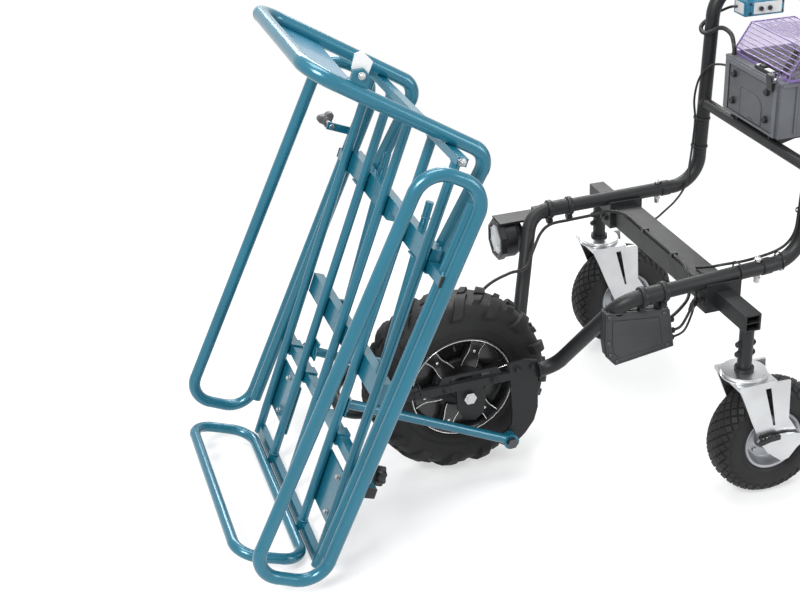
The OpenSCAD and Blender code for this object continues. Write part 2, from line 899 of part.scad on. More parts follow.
// ribbed as far as the handle tube, then plain up to the switch box
conduit_d = 10;
conduit_root = 8.6;
conduit_end = 6;
conduit_route = [[692, 100, 790], [692, 103, 812], [697, 125, 830], [700, 160, 834],
                 [700, 188, 828], [693, 203.5, 818], [684.5, 215, 812], [683, 230, 812],
                 [690, 246, 818], [705, 251.5, 828], [722, 246, 842], [733, 226, 856],
                 [742, 208, 866], [753, 198, 868]];
conduit_steps = 12;
conduit_ribbed = 9 * conduit_steps;

module battery_conduit() {
  path = route(conduit_route, conduit_steps);
  color("black") placed() difference() {
    swept(path, [for (i = [0:len(path) - 1])
      (i > conduit_ribbed ? conduit_end : i % 2 == 0 ? conduit_d : conduit_root) / 2],
      cord_sides, cord_ref);
    block([case_x, -case_w / 2, case_z], [case_x + case_len, case_w / 2, case_top]);
    block(handle_box_from, handle_box_to);
  }
}

// deck: bars and channels, in deck coordinates (along, across, out of the load side)
bar_n = -28;
bar_start = 2;
bar_under = bar_n - deck_bar_d / 2;
bar_ys = [for (i = [-2:2]) i * deck_pitch];
end_u = deck_len;
front_slide_u = 212;
rear_slide_u = end_u - 206.5;
slide_n = [bar_under - pass_gap - slide_size, bar_under - pass_gap];

module bars() {
  for (y = bar_ys)
    rod([bar_start, y, bar_n], [end_u, y, bar_n], deck_bar_d);
}

module deck_bars() {
  color("steelblue") on_deck() bars();
}

hoop_bottom = [end_u + 14, 210, -109];
hoop_top = [end_u + 77, 210, 255];
hoop_foot = [rear_slide_u + 8, 210, -77];
hoop_path = [hoop_foot, hoop_bottom, hoop_top, side_of(-1, hoop_top), side_of(-1, hoop_bottom),
             side_of(-1, hoop_foot)];
hoop_bends = [34, 55, 55, 34];
ear_outline = [for (p = [[52, 146], [94, 150], [104, 164], [96, 182], [54, 180]]) [end_u + p.x, p.y]];
ear_y = [-209, -201];
latch_pin = [end_u + 92, 166];
latch_pin_d = 6;

module hoop() {
  bent_tube(hoop_path, rear_hoop_d, hoop_bends);
}

module rear_hoop() {
  color("steelblue") on_deck() difference() {
    union() {
      hoop();
      slab(ear_outline, ear_y[0], ear_y[1]);
      both_sides()
        block([hoop_foot.x + 16, hoop_foot.y - 4, hoop_foot.z],
              [hoop_foot.x + 30, hoop_foot.y + 8, channel_low]);
    }
    y_cyl(latch_pin[0], latch_pin[1], ear_y[0] - 1, ear_y[1] + 1, latch_pin_d + 2 * run_gap);
  }
}

latch_plate = [[-8, -14], [26, -16], [38, 6], [30, 18], [6, 16], [-8, 10]];
latch_t = 6;

module tray_latch() {
  color("gainsboro") on_deck() {
    translate([latch_pin[0], 0, latch_pin[1]])
      slab(latch_plate, ear_y[1] + pass_gap, ear_y[1] + pass_gap + latch_t);
    y_cyl(latch_pin[0], latch_pin[1], ear_y[0] - pass_gap, ear_y[1] + 1, latch_pin_d);
    y_cyl(latch_pin[0], latch_pin[1], ear_y[0] - pass_gap - 4, ear_y[0] - pass_gap, 11);
  }
}

// sheet web across the top of the rear hoop, drawn across and up the legs
web_t = 3;
web_drop = 10;
web_outline = [[204, 229], [120, 233], [-120, 241], [-204, 245], [-204, 330], [-170, 362], [170, 362],
               [204, 330]];
hoop_lean = atan2(hoop_top.x - hoop_bottom.x, hoop_top.z - hoop_bottom.z);

module hoop_gusset() {
  color("deepskyblue") on_deck() difference() {
    translate([hoop_bottom.x, 0, hoop_bottom.z])
      rotate([0, hoop_lean, 0])
        translate([-web_drop, 0, 0])
          multmatrix([[0, 0, 1, 0], [1, 0, 0, 0], [0, 1, 0, 0]])
            linear_extrude(web_t)
              polygon(web_outline);
    hoop();
  }
}

channel_t = 22;
channel_low = bar_under - channel_t;
end_channel_n = [-38, -18];

module deck_channels() {
  color("steelblue") on_deck() difference() {
    union() {
      block([bar_start, -262, -40], [bar_start + 20, 262, -24]);
      block([end_u, -285, end_channel_n[0]], [hoop_bottom.x + 1, 285, end_channel_n[1]]);
      block([363, -256, channel_low], [407, 256, bar_under]);
      block([rear_slide_u + slide_size + pass_gap, -268, channel_low],
            [rear_slide_u + slide_size + pass_gap + channel_t, 268, bar_under]);
    }
    bars();
    hoop();
    stiffeners();
  }
}

// front hoop stands on the lower ends of the bars
front_hoop_y = 250;
front_hoop_n = [bar_n + deck_bar_d / 2 + front_hoop_d / 2, 128];
front_hoop_u = 5;

module front_hoop() {
  color("steelblue") on_deck() bent_ring([
    [front_hoop_u, -front_hoop_y, front_hoop_n[0]], [front_hoop_u, front_hoop_y, front_hoop_n[0]],
    [front_hoop_u, front_hoop_y, front_hoop_n[1]], [front_hoop_u, -front_hoop_y, front_hoop_n[1]]],
    front_hoop_d, 46);
}

module deck_plates() {
  color("steelblue") on_deck() both_sides()
    block([75, 124, bar_under - 3], [190, 266, bar_under]);
}

// stiffener tubes under the bars beside the middle
stiff_a = [end_u - 119, 135, -63];
stiff_b = [390, 135, -82];
stiff_d = 16;

module stiffeners() {
  both_sides() rod(stiff_a, stiff_b, stiff_d);
}

module stiffener_tubes() {
  color("steelblue") on_deck() both_sides() {
    rod(stiff_a, stiff_b, stiff_d);
    block([378, 131, stiff_b.z - 2], [404, 139, channel_low]);
  }
}

// tilt arms from the pivots to feet under the bars
arm_d = 20;
arm_y = 112;
eye_d = 34;
arm_foot = [287, arm_y, bar_under - 2];

function deck_to_frame(p) = [
  deck_x + p.x * cos(tray_tilt) - p.z * sin(tray_tilt), p.y,
  deck_z + p.x * sin(tray_tilt) + p.z * cos(tray_tilt)];

module tilt_arms() {
  color("steelblue") {
    both_sides() {
      placed() difference() {
        union() {
          y_cyl(pivot[0], pivot[1], eye_y[0], eye_y[1], eye_d);
          rod([pivot[0], arm_y - 1, pivot[1]], deck_to_frame(arm_foot), arm_d);
        }
        y_cyl(pivot[0], pivot[1], 0, 200, pivot_d + 2 * run_gap);
        block([pivot[0] - 40, 90, pivot[1] - 40], [pivot[0] + 40, eye_y[0], pivot[1] + 40]);
      }
      on_deck()
        block([268, 103, bar_under - 3], [308, 138, bar_under]);
    }
  }
}

// guides that hold the guard slides up against the bars
guide_t = 3;
front_guides = [deck_pitch, 2 * deck_pitch];
rear_guides = [190, 2 * deck_pitch];
guide_len = 30;
guide_low = slide_n[0] - pass_gap - guide_t;
knob_y = 270;

module guide(u0, u1, y, n0) {
  block([u0, y - guide_len / 2, n0], [u1, y + guide_len / 2, bar_under + 3]);
}

module slide_guides() {
  g = pass_gap;
  color("steelblue") on_deck() both_sides() difference() {
    union() {
      for (y = front_guides)
        guide(front_slide_u - g - guide_t, front_slide_u + slide_size + g + guide_t, y, guide_low);
      for (y = rear_guides)
        difference() {
          guide(rear_slide_u - g - guide_t, rear_slide_u + slide_size + g + channel_t, y,
                channel_low - guide_t);
          block([rear_slide_u + slide_size + g, 0, channel_low], [rear_slide_u + 60, 400, 0]);
        }
    }
    block([front_slide_u - g, 0, slide_n[0] - g], [front_slide_u + slide_size + g, 400, 0]);
    block([rear_slide_u - g, 0, channel_low], [rear_slide_u + slide_size + g + 0.01, 400, 0]);
    bars();
    translate([front_slide_u + slide_size / 2, knob_y, guide_low - 1])
      cylinder(h = guide_t + 2, d = stud_d + 2 * run_gap);
  }
}

// side guards: a hoop, an inner rail and two square slides welded together
guard_y = 339;
inner_y = 309;
guard_low = [[15, -12], [end_u - 14, -67]];
guard_high = [[25, -12 + guard_h + 6], [end_u, -67 + guard_h - 6]];
guard_bend = 52;
// the slides of the two guards meet end to end, with their full travel between them
slide_meet = [-10, -52];
slide_clear = 12;

// s is 1 for the right guard and -1 for the left one
module guard(s) {
  ends = [for (y = slide_meet) s * y + slide_travel + slide_clear / 2];
  bent_ring([[guard_low[0].x, guard_y, guard_low[0].y], [guard_low[1].x, guard_y, guard_low[1].y],
             [guard_high[1].x, guard_y, guard_high[1].y], [guard_high[0].x, guard_y, guard_high[0].y]],
            guard_d, guard_bend);
  rod([60, inner_y, -15], [end_u - 54, inner_y, -64.3], guard_d);
  block([front_slide_u, ends[0], slide_n[0]], [front_slide_u + slide_size, guard_y, slide_n[1]]);
  block([rear_slide_u, ends[1], slide_n[0]], [rear_slide_u + slide_size, guard_y, slide_n[1]]);
}

outer_pin = [end_u - 146, -8];
outer_lug = [for (p = [[-8, -54], [8, -54], [8, 10], [-8, 10]]) outer_pin + p];
outer_pin_d = 8;

module right_guard() {
  color("steelblue") on_deck() difference() {
    union() {
      guard(1);
      slab(outer_lug, guard_y + 4, guard_y + 9);
    }
    y_cyl(outer_pin[0], outer_pin[1], 300, 400, outer_pin_d + 2 * run_gap);
  }
}

module left_guard() {
  color("steelblue") on_deck() at_left()
    guard(-1);
}

// hand knobs
stud_d = 8;
knob_d = 40;
knob_h = 22;
knob_n = -96;
lobes = 7;

module star_knob(d, h, count, lobe_d) {
  cylinder(h = h, d = d - lobe_d * 0.6);
  for (a = [0:360 / count:359])
    rotate([0, 0, a])
      translate([(d - lobe_d) / 2, 0, 0])
        cylinder(h = h, d = lobe_d);
}

module clamp_knob() {
  translate([front_slide_u + slide_size / 2, knob_y, knob_n]) {
    star_knob(knob_d, knob_h, lobes, 12);
    cylinder(h = slide_n[0] - pass_gap - knob_n, d = stud_d);
  }
}

module right_clamp_knob() {
  color("black") on_deck() clamp_knob();
}

module left_clamp_knob() {
  color("black") on_deck() at_left() clamp_knob();
}

module outer_knob() {
  color("gray") on_deck() {
    y_cyl(outer_pin[0], outer_pin[1], guard_y + 4, guard_y + 46, outer_pin_d);
    translate([outer_pin[0], guard_y + 62, outer_pin[1]])
      rotate([90, 0, 0])
        star_knob(40, 18, 3, 18);
    y_cyl(outer_pin[0], outer_pin[1], guard_y + 1, guard_y + 4 - pass_gap, 12);
    y_cyl(outer_pin[0], outer_pin[1], guard_y + 3, guard_y + 5, outer_pin_d);
  }
}

main_tubes();
handle_tubes();
fork_plates();
front_bumper();
cross_beam();
beam_extensions();
battery_shelf();
battery_case();
battery_panel();
case_screws();
battery_packs();
battery_lid();
lid_latch();
control_box_base();
control_box_cover();
motor_controller();
headlight_housing();
headlight_lens();
headlight_bracket();
handle_box();
handle_grips();
lever_clamps();
drive_lever();
brake_lever();
motor_cable();
battery_cable();
battery_conduit();
handle_cable();
frame_bolts();
pivot_bolts();
front_axle();
axle_nuts();
front_tyre();
front_rim();
hub_motor();
left_caster_fork();
right_caster_fork();
left_caster_tyre();
right_caster_tyre();
left_caster_rim();
right_caster_rim();
left_caster_axle();
right_caster_axle();
left_brake_pedal();
right_brake_pedal();
deck_bars();
deck_channels();
front_hoop();
rear_hoop();
hoop_gusset();
deck_plates();
stiffener_tubes();
tilt_arms();
slide_guides();
tray_latch();
left_guard();
right_guard();
left_clamp_knob();
right_clamp_knob();
outer_knob();
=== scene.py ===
import math

import bmesh
import bpy
from mathutils import Matrix, Vector


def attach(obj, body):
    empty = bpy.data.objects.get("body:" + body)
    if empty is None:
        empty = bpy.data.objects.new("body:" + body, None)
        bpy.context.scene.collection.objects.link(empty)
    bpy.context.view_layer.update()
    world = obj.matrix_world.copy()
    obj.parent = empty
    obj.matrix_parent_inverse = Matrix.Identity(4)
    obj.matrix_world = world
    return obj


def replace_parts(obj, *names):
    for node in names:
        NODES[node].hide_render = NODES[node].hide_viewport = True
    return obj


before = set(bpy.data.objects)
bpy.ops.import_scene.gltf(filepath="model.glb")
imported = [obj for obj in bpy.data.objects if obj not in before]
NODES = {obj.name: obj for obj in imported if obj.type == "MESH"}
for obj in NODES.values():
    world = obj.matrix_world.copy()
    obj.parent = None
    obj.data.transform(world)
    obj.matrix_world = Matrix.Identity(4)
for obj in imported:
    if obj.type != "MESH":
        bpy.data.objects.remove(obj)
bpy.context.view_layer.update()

# Row frame: metres, X back to the operator, Y to the operator's right, Z up.
TILT = math.radians(68.1)
AXLE_X = 231        # the drive axle's place, in mm ahead of the frame's middle
AXLE_Z = 203
CASTER_X = 496.5    # swivel columns, in mm behind the drive axle
CASTER_Y = 348
SIDES = (("left", -1), ("right", 1))


def P(x, y, z):
    """A point given in mm from the spot under the drive axle."""
    return Vector(((x - AXLE_X) / 1000, y / 1000, z / 1000))


def D(u, y, n):
    """A point given in mm along, across and out of the deck."""
    c, s = math.cos(TILT), math.sin(TILT)
    return P(-412.4 + u * c - n * s, y, 13.9 + u * s + n * c)


# camera at the photograph's viewpoint
cam_data = bpy.data.cameras.new("camera")
cam = bpy.data.objects.new("camera", cam_data)
bpy.context.collection.objects.link(cam)
CAMERA_AT = (-1.005, -2.3472, 1.6578)
yaw, pitch, roll = math.radians(67.38), math.radians(29.02), math.radians(-0.11)
look = Vector((math.cos(yaw) * math.cos(pitch), math.sin(yaw) * math.cos(pitch), -math.sin(pitch)))
side = Vector((math.sin(yaw), -math.cos(yaw), 0))
up = side.cross(look)
side, up = side * math.cos(roll) + up * math.sin(roll), up * math.cos(roll) - side * math.sin(roll)
cam.matrix_world = Matrix.Translation(CAMERA_AT) @ Matrix((
    (side.x, up.x, -look.x, 0), (side.y, up.y, -look.y, 0), (side.z, up.z, -look.z, 0),
    (0, 0, 0, 1)))
cam_data.sensor_width = 36
cam_data.lens = 60.4
cam_data.shift_x = -0.179
cam_data.shift_y = 0.0506
cam_data.clip_end = 60
bpy.context.scene.camera = cam


# materials
EDGE_GAIN = 6.0


class Mat:
    """Small helper round one node material."""

    def __init__(self, name, rough, metal=0.0, **sockets):
        self.m = bpy.data.materials.new(name)
        self.m.use_nodes = True
        self.t = self.m.node_tree
        self.b = self.t.nodes["Principled BSDF"]
        self.b.inputs["Roughness"].default_value = rough
        self.b.inputs["Metallic"].default_value = metal
        for key, value in sockets.items():
            self.b.inputs[key.replace("_", " ")].default_value = value
        self.co = self.t.nodes.new("ShaderNodeTexCoord").outputs["Object"]

    def node(self, kind, **inputs):
        n = self.t.nodes.new("ShaderNode" + kind)
        for key, value in inputs.items():
            n.inputs[key].default_value = value
        return n

    def link(self, a, b):
        self.t.links.new(a, b)

    def noise(self, scale, detail=4.0, stretch=None):
        n = self.node("TexNoise", Scale=scale, Detail=detail)
        co = self.co
        if stretch:
            m = self.node("Mapping")
            m.inputs["Scale"].default_value = stretch
            self.link(co, m.inputs["Vector"])
            co = m.outputs["Vector"]
        self.link(co, n.inputs["Vector"])
        return n.outputs["Fac"]

    def ramp(self, fac, stops):
        r = self.node("ValToRGB")
        e = r.color_ramp.elements
        e[0].position, e[0].color = stops[0][0], stops[0][1]
        e[1].position, e[1].color = stops[-1][0], stops[-1][1]
        for pos, col in stops[1:-1]:
            x = e.new(pos)
            x.color = col
        self.link(fac, r.inputs["Fac"])
        return r.outputs["Color"]

    def mix(self, fac, a, b):
        n = self.t.nodes.new("ShaderNodeMix")
        n.data_type = "RGBA"
        for src, i in ((fac, 0), (a, 6), (b, 7)):
            if hasattr(src, "links"):
                self.link(src, n.inputs[i])
            else:
                n.inputs[i].default_value = src
        return n.outputs[2]

    def math(self, op, a, b=None, clamp=False):
        n = self.t.nodes.new("ShaderNodeMath")
        n.operation = op
        n.use_clamp = clamp
        for i, src in enumerate((a, b)):
            if src is None:
                continue
            if hasattr(src, "links"):
                self.link(src, n.inputs[i])
            else:
                n.inputs[i].default_value = src
        return n.outputs[0]

    def edges(self, radius=0.0012):
        """1 on sharp edges, 0 on flats."""
        bev = self.t.nodes.new("ShaderNodeBevel")
        bev.samples = 4
        bev.inputs["Radius"].default_value = radius
        geo = self.t.nodes.new("ShaderNodeNewGeometry")
        dot = self.t.nodes.new("ShaderNodeVectorMath")
        dot.operation = "DOT_PRODUCT"
        self.link(bev.outputs["Normal"], dot.inputs[0])
        self.link(geo.outputs["Normal"], dot.inputs[1])
        self.bevel = bev.outputs["Normal"]
        turned = self.math("SUBTRACT", 1.0, dot.outputs["Value"])
        return self.math("MULTIPLY", turned, EDGE_GAIN, clamp=True)

    def color(self, out):
        self.link(out, self.b.inputs["Base Color"])

    def rough(self, out):
        self.link(out, self.b.inputs["Roughness"])

    def bump(self, height, distance, strength, normal=None):
        """Fine relief over the given normal, or over the plain surface."""
        n = self.node("Bump", Distance=distance, Strength=strength)
        self.link(height, n.inputs["Height"])
        if normal is not None:
            self.link(normal, n.inputs["Normal"])
        self.link(n.outputs["Normal"], self.b.inputs["Normal"])

    def span(self, fac, lo, hi):
        m = self.node("MapRange")
        m.inputs["To Min"].default_value = lo
        m.inputs["To Max"].default_value = hi
        self.link(fac, m.inputs["Value"])
        return m.outputs["Result"]


def c(r, g, b):
    return (r, g, b, 1.0)


BLACK, WHITE = c(0, 0, 0), c(1, 1, 1)
DUST = c(0.42, 0.40, 0.37)


def shade(col, k):
    return (col[0] * k, col[1] * k, col[2] * k, 1.0)


def patches(m, noise, lo, hi):
    """0 where the noise is below lo, 1 above hi."""
    return m.ramp(noise, [(lo, BLACK), (hi, WHITE)])


def paint(name, col, rough, chip, grain=900, coat=0.0, dust=0.10, peel=0.00012, spec=0.5,
          metallic=0.0):
    """Sprayed or powder coated steel with dust, fine texture and rubbed edges."""
    m = Mat(name, rough, metallic, Coat_Weight=coat, Coat_Roughness=0.10, Specular_IOR_Level=spec)
    cloud = m.noise(9.0, 5.0)
    body = m.ramp(cloud, [(0.30, shade(col, 0.90)), (0.55, col), (0.75, shade(col, 1.08))])
    film = patches(m, m.noise(3.2, 6.0), 0.52, 0.72)
    body = m.mix(m.math("MULTIPLY", film, dust), body, DUST)
    wear = m.edges()
    worn = m.math("MULTIPLY", wear, patches(m, m.noise(60.0, 3.0), 0.50, 0.62))
    m.color(m.mix(worn, body, chip))
    m.rough(m.span(m.noise(25.0, 4.0), rough * 0.82, min(rough * 1.25, 1.0)))
    m.bump(m.noise(grain, 2.0), peel, 0.5, normal=m.bevel)
    return m.m


def metal(name, col, rough, streak=(1, 1, 1), spots=0.15, grain=300):
    """Bare, zinc plated or machined metal."""
    m = Mat(name, rough, 1.0)
    body = m.ramp(m.noise(14.0, 6.0),
                  [(0.35, shade(col, 0.88)), (0.6, col), (0.8, shade(col, 1.05))])
    stain = patches(m, m.noise(70.0, 5.0), 0.60, 0.74)
    body = m.mix(m.math("MULTIPLY", stain, spots), body, c(0.32, 0.30, 0.27))
    m.color(body)
    m.rough(m.span(m.noise(grain, 3.0, streak), rough * 0.75, rough * 1.3))
    m.edges(0.0008)
    m.bump(m.noise(grain * 2, 2.0, streak), 0.00008, 0.5, normal=m.bevel)
    return m.m


def plastic(name, col, rough, grain=1100, depth=0.00012, scuff=0.12, spec=0.5):
    """Moulded plastic with a spark-eroded texture, scuffs and a painted highlight on every sharp
    edge.
    """
    m = Mat(name, rough, Specular_IOR_Level=spec)
    body = m.ramp(m.noise(12.0, 5.0), [(0.35, shade(col, 0.88)), (0.65, shade(col, 1.1))])
    marks = patches(m, m.noise(26.0, 8.0, (1, 1, 6)), 0.60, 0.70)
    body = m.mix(m.math("MULTIPLY", marks, scuff), body, c(0.3, 0.3, 0.3))
    painted_edge_highlight = m.edges(0.0010)
    # painted highlight: every sharp edge is lightened a quarter of the way towards 2.2 times the
    # base colour
    m.color(m.mix(m.math("MULTIPLY", painted_edge_highlight, 0.25), body, shade(col, 2.2)))
    m.rough(m.span(m.noise(40.0, 4.0), rough * 0.85, min(1.0, rough * 1.2)))
    m.bump(m.noise(grain, 2.0), depth, 0.6, normal=m.bevel)
    return m.m


def rubber(name, col, rough, dust, spec, grain=500, depth=0.00025):
    """Moulded rubber with a dusty film."""
    m = Mat(name, rough, Specular_IOR_Level=spec)
    body = m.ramp(m.noise(18.0, 6.0), [(0.30, shade(col, 0.75)), (0.7, shade(col, 1.25))])
    film = patches(m, m.noise(7.0, 8.0), 0.45, 0.75)
    body = m.mix(m.math("MULTIPLY", film, dust), body, c(0.12, 0.115, 0.105))
    m.color(body)
    m.rough(m.span(m.noise(35.0, 5.0), rough * 0.8, min(1.0, rough * 1.15)))
    m.edges(0.0012)
    m.bump(m.noise(grain, 3.0), depth, 0.5, normal=m.bevel)
    return m.m


M = {
    "dark_paint": paint("dark_paint", c(0.012, 0.0125, 0.0135), 0.42, c(0.06, 0.06, 0.063),
                        dust=0.02, spec=0.3),
    "teal_paint": paint("teal_paint", c(0.007, 0.122, 0.185), 0.24, c(0.06, 0.24, 0.33),
                        coat=0.35, dust=0.01, metallic=0.22),
    "blue_paint": paint("blue_paint", c(0.016, 0.155, 0.255), 0.28, c(0.08, 0.28, 0.40),
                        coat=0.4, dust=0.03),
    "white_paint": paint("white_paint", c(0.62, 0.63, 0.63), 0.35, c(0.45, 0.45, 0.45), dust=0.08),
    "zinc": metal("zinc", c(0.60, 0.61, 0.62), 0.30, spots=0.02, grain=60),
    "steel": metal("steel", c(0.58, 0.58, 0.59), 0.30, spots=0.22),
    "dark_steel": metal("dark_steel", c(0.10, 0.10, 0.105), 0.42, spots=0.10),
    "machined": metal("machined", c(0.80, 0.80, 0.79), 0.22, streak=(1, 14, 1), spots=0.05),
    "motor_alloy": metal("motor_alloy", c(0.035, 0.035, 0.037), 0.45, spots=0.06),
    "tyre_rubber": rubber("tyre_rubber", c(0.010, 0.010, 0.0105), 0.62, dust=0.08, spec=0.28),
    "black_rubber": rubber("black_rubber", c(0.010, 0.010, 0.0105), 0.50, dust=0.05, spec=0.35),
    "black_plastic": plastic("black_plastic", c(0.012, 0.0125, 0.014), 0.42, spec=0.35),
    "grey_plastic": plastic("grey_plastic", c(0.088, 0.093, 0.103), 0.48),
    "panel_plastic": plastic("panel_plastic", c(0.065, 0.067, 0.073), 0.50),
    "box_plastic": plastic("box_plastic", c(0.030, 0.032, 0.034), 0.46, scuff=0.02, spec=0.4),
    "grey_knob": plastic("grey_knob", c(0.10, 0.10, 0.10), 0.5),
    "black_rim": paint("black_rim", c(0.014, 0.014, 0.015), 0.26, c(0.06, 0.06, 0.06),
                       coat=0.3, dust=0.03),
    "grey_rim": metal("grey_rim", c(0.40, 0.41, 0.43), 0.42, spots=0.12),
}


def clear(name, col, trans, rough):
    """Clear or tinted moulded plastic."""
    m = Mat(name, rough, Transmission_Weight=trans, IOR=1.49)
    m.color(m.ramp(m.noise(11.0, 4.0), [(0.3, shade(col, 0.9)), (0.7, shade(col, 1.05))]))
    m.rough(m.span(m.noise(60.0, 4.0), rough * 0.6, rough * 1.5))
    m.bump(m.noise(240.0, 2.0), 0.00008, 0.4)
    return m.m


M["purple_rib"] = plastic("purple_rib", c(0.19, 0.12, 0.33), 0.30, scuff=0.05)
M["clear_purple"] = clear("clear_purple", c(0.90, 0.86, 0.97), 0.97, 0.05)
M["lens"] = clear("lens", c(0.90, 0.93, 0.96), 0.85, 0.06)


# mesh building
def add(name, verts, faces, mat, body, slot=None, angle=40):
    """One piece that rides a body, with sharp edges where faces meet at more than angle."""
    me = bpy.data.meshes.new(name)
    me.from_pydata([tuple(v) for v in verts], [], faces)
    me.update()
    bm = bmesh.new()
    bm.from_mesh(me)
    bmesh.ops.remove_doubles(bm, verts=bm.verts, dist=1e-6)
    bmesh.ops.recalc_face_normals(bm, faces=bm.faces)
    bm.to_mesh(me)
    bm.free()
    ob = bpy.data.objects.new(name, me)
    bpy.context.collection.objects.link(ob)
    me.shade_smooth()
    me.set_sharp_from_angle(angle=math.radians(angle))
    me.materials.append(M[mat])
    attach(ob, body)
    return ob


def circle(n, start=0.0):
    """n points of the unit circle, from the start angle in degrees."""
    turn = [2 * math.pi * i / n + math.radians(start) for i in range(n)]
    return [(math.cos(a), math.sin(a)) for a in turn]


class Build:
    """Collects many simple solids into one mesh."""

    def __init__(self):
        self.v, self.f = [], []

    def put(self, verts, faces, mtx=None):
        base = len(self.v)
        self.v += [(mtx @ Vector(v)) if mtx is not None else Vector(v) for v in verts]
        self.f += [[base + i for i in face] for face in faces]

    def prism(self, outline, h0, h1, mtx=None, bevel=0.0):
        """outline in x and y, from z h0 to h1, with an optional chamfer."""
        n = len(outline)
        rings = [(outline, h0)]
        if bevel:
            mid = [sum(p[0] for p in outline) / n, sum(p[1] for p in outline) / n]
            inner = []
            for x, y in outline:
                d = math.hypot(x - mid[0], y - mid[1]) or 1
                k = max(0.0, 1 - bevel / d)
                inner.append((mid[0] + (x - mid[0]) * k, mid[1] + (y - mid[1]) * k))
            b = bevel if h1 > h0 else -bevel
            rings = [(inner, h0), (outline, h0 + b), (outline, h1 - b), (inner, h1)]
        else:
            rings.append((outline, h1))
        verts = [(x, y, z) for o, z in rings for x, y in o]
        faces = [list(range(n - 1, -1, -1)), [(len(rings) - 1) * n + i for i in range(n)]]
        for k in range(len(rings) - 1):
            for i in range(n):
                j = (i + 1) % n
                faces.append([k * n + i, k * n + j, (k + 1) * n + j, (k + 1) * n + i])
        self.put(verts, faces, mtx)

    def cyl(self, r, h0, h1, mtx=None, seg=32, bevel=0.0):
        self.prism([(r * x, r * y) for x, y in circle(seg)], h0, h1, mtx, bevel)

    def box(self, lo, hi, mtx=None, bevel=0.0):
        self.prism([(lo[0], lo[1]), (hi[0], lo[1]), (hi[0], hi[1]), (lo[0], hi[1])],
                   lo[2], hi[2], mtx, bevel)

    def mm_box(self, lo, hi, bevel=0.0):
        """Box between two points given in mm."""
        self.box(P(*lo), P(*hi), None, bevel)

    def lathe(self, prof, mtx=None, seg=96):
        """Closed profile of (radius, height) turned round z."""
        n = len(prof)
        verts = [(r * x, r * y, z) for x, y in circle(seg) for r, z in prof]
        faces = []
        for k in range(seg):
            k2 = (k + 1) % seg
            for i in range(n):
                j = (i + 1) % n
                faces.append([k * n + i, k2 * n + i, k2 * n + j, k * n + j])
        self.put(verts, faces, mtx)

    def ring(self, major, minor, mtx=None, seg=64, sides=10):
        self.lathe([(major + minor * x, minor * y) for x, y in circle(sides)], mtx, seg)

    def sweep(self, path, radii, sides=12):
        """Tube along points; radii is a number or one per point."""
        n = len(path)
        path = [Vector(p) for p in path]
        if not hasattr(radii, "__len__"):
            radii = [radii] * n
        t0 = (path[1] - path[0]).normalized()
        a = t0.orthogonal().normalized()
        verts = []
        for i, p in enumerate(path):
            t = (path[min(i + 1, n - 1)] - path[max(i - 1, 0)]).normalized()
            a = (a - t * a.dot(t)).normalized()
            b = t.cross(a)
            for x, y in circle(sides):
                verts.append(p + (a * x + b * y) * radii[i])
        faces = [list(range(sides))[::-1], [(n - 1) * sides + k for k in range(sides)]]
        for i in range(n - 1):
            for k in range(sides):
                j = (k + 1) % sides
                lo, hi = i * sides, (i + 1) * sides
                faces.append([lo + k, lo + j, hi + j, hi + k])
        self.put(verts, faces)

    def make(self, name, mat, body, **kw):
        return add(name, self.v, self.f, mat, body, **kw)


def axes(x, y, z, at):
    """Matrix whose columns are the given axes, at a point."""
    x, y, z = Vector(x), Vector(y), Vector(z)
    return Matrix(((x.x, y.x, z.x, at[0]), (x.y, y.y, z.y, at[1]), (x.z, y.z, z.z, at[2]),
                   (0, 0, 0, 1)))


def along(direction, at):
    """Matrix that takes z to the direction."""
    z = Vector(direction).normalized()
    x = z.orthogonal().normalized()
    return axes(x, z.cross(x), z, at)


def spline(pts, steps):
    """Smooth curve through the points."""
    pts = [Vector(p) for p in pts]
    out = []
    for i in range(len(pts) - 1):
        a, b = pts[max(i - 1, 0)], pts[i]
        c2, d = pts[i + 1], pts[min(i + 2, len(pts) - 1)]
        for j in range(steps):
            t = j / steps
            out.append(0.5 * (2 * b + (c2 - a) * t + (2 * a - 5 * b + 4 * c2 - d) * t * t
                              + (3 * b - a - 3 * c2 + d) * t ** 3))
    out.append(pts[-1])
    return out


# cords, clipped to the frame on the routes of the solids
ROUTES = {
    "motor_cable": (7, [(0, 72, 211), (10, 73, 244), (46, 78, 300), (108, 90, 354), (170, 116, 362),
                        (220, 140, 356), (250, 166, 384), (280, 196, 406), (312, 214, 415),
                        (360, 218, 416), (415, 212, 421), (440, 200, 430), (458, 172, 437.5),
                        (471, 140, 437), (471, 70, 437), (471, -80, 437), (470, -125, 437.5),
                        (461, -155, 438), (454, -182, 426), (440, -206, 404), (414, -222, 390),
                        (386.4, -225, 372)]),
    "handle_cable": (6, [(487, -150, 436), (500, -186, 452), (520, -205, 462), (560, -210.5, 464),
                         (605, -208, 466), (640, -210, 474), (660, -218, 492), (670, -225, 520),
                         (673.5, -226, 560), (677.5, -226, 650), (682.5, -226, 760),
                         (686.5, -226, 840), (689.5, -226, 890), (700, -226, 918),
                         (722, -226, 927), (760, -226, 930), (843.5, -226, 939)]),
    "battery_cable": (5, [(531, 160, 412), (556, 172, 404), (590, 194, 408), (622, 204, 424),
                          (643, 204.3, 450), (654, 206, 478), (661, 215, 500), (668, 222, 524),
                          (673.5, 226, 560), (676, 226, 610), (671, 226, 655), (675, 223, 695),
                          (681, 210, 724), (691, 188, 746), (700, 150, 756), (706, 113, 756)]),
}
for name, (dia, pts) in ROUTES.items():
    b = Build()
    b.sweep(spline([P(*p) for p in pts], 12), dia / 2000, 14)
    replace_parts(b.make(name + "_sheath", "black_rubber", "chassis", angle=60), name)

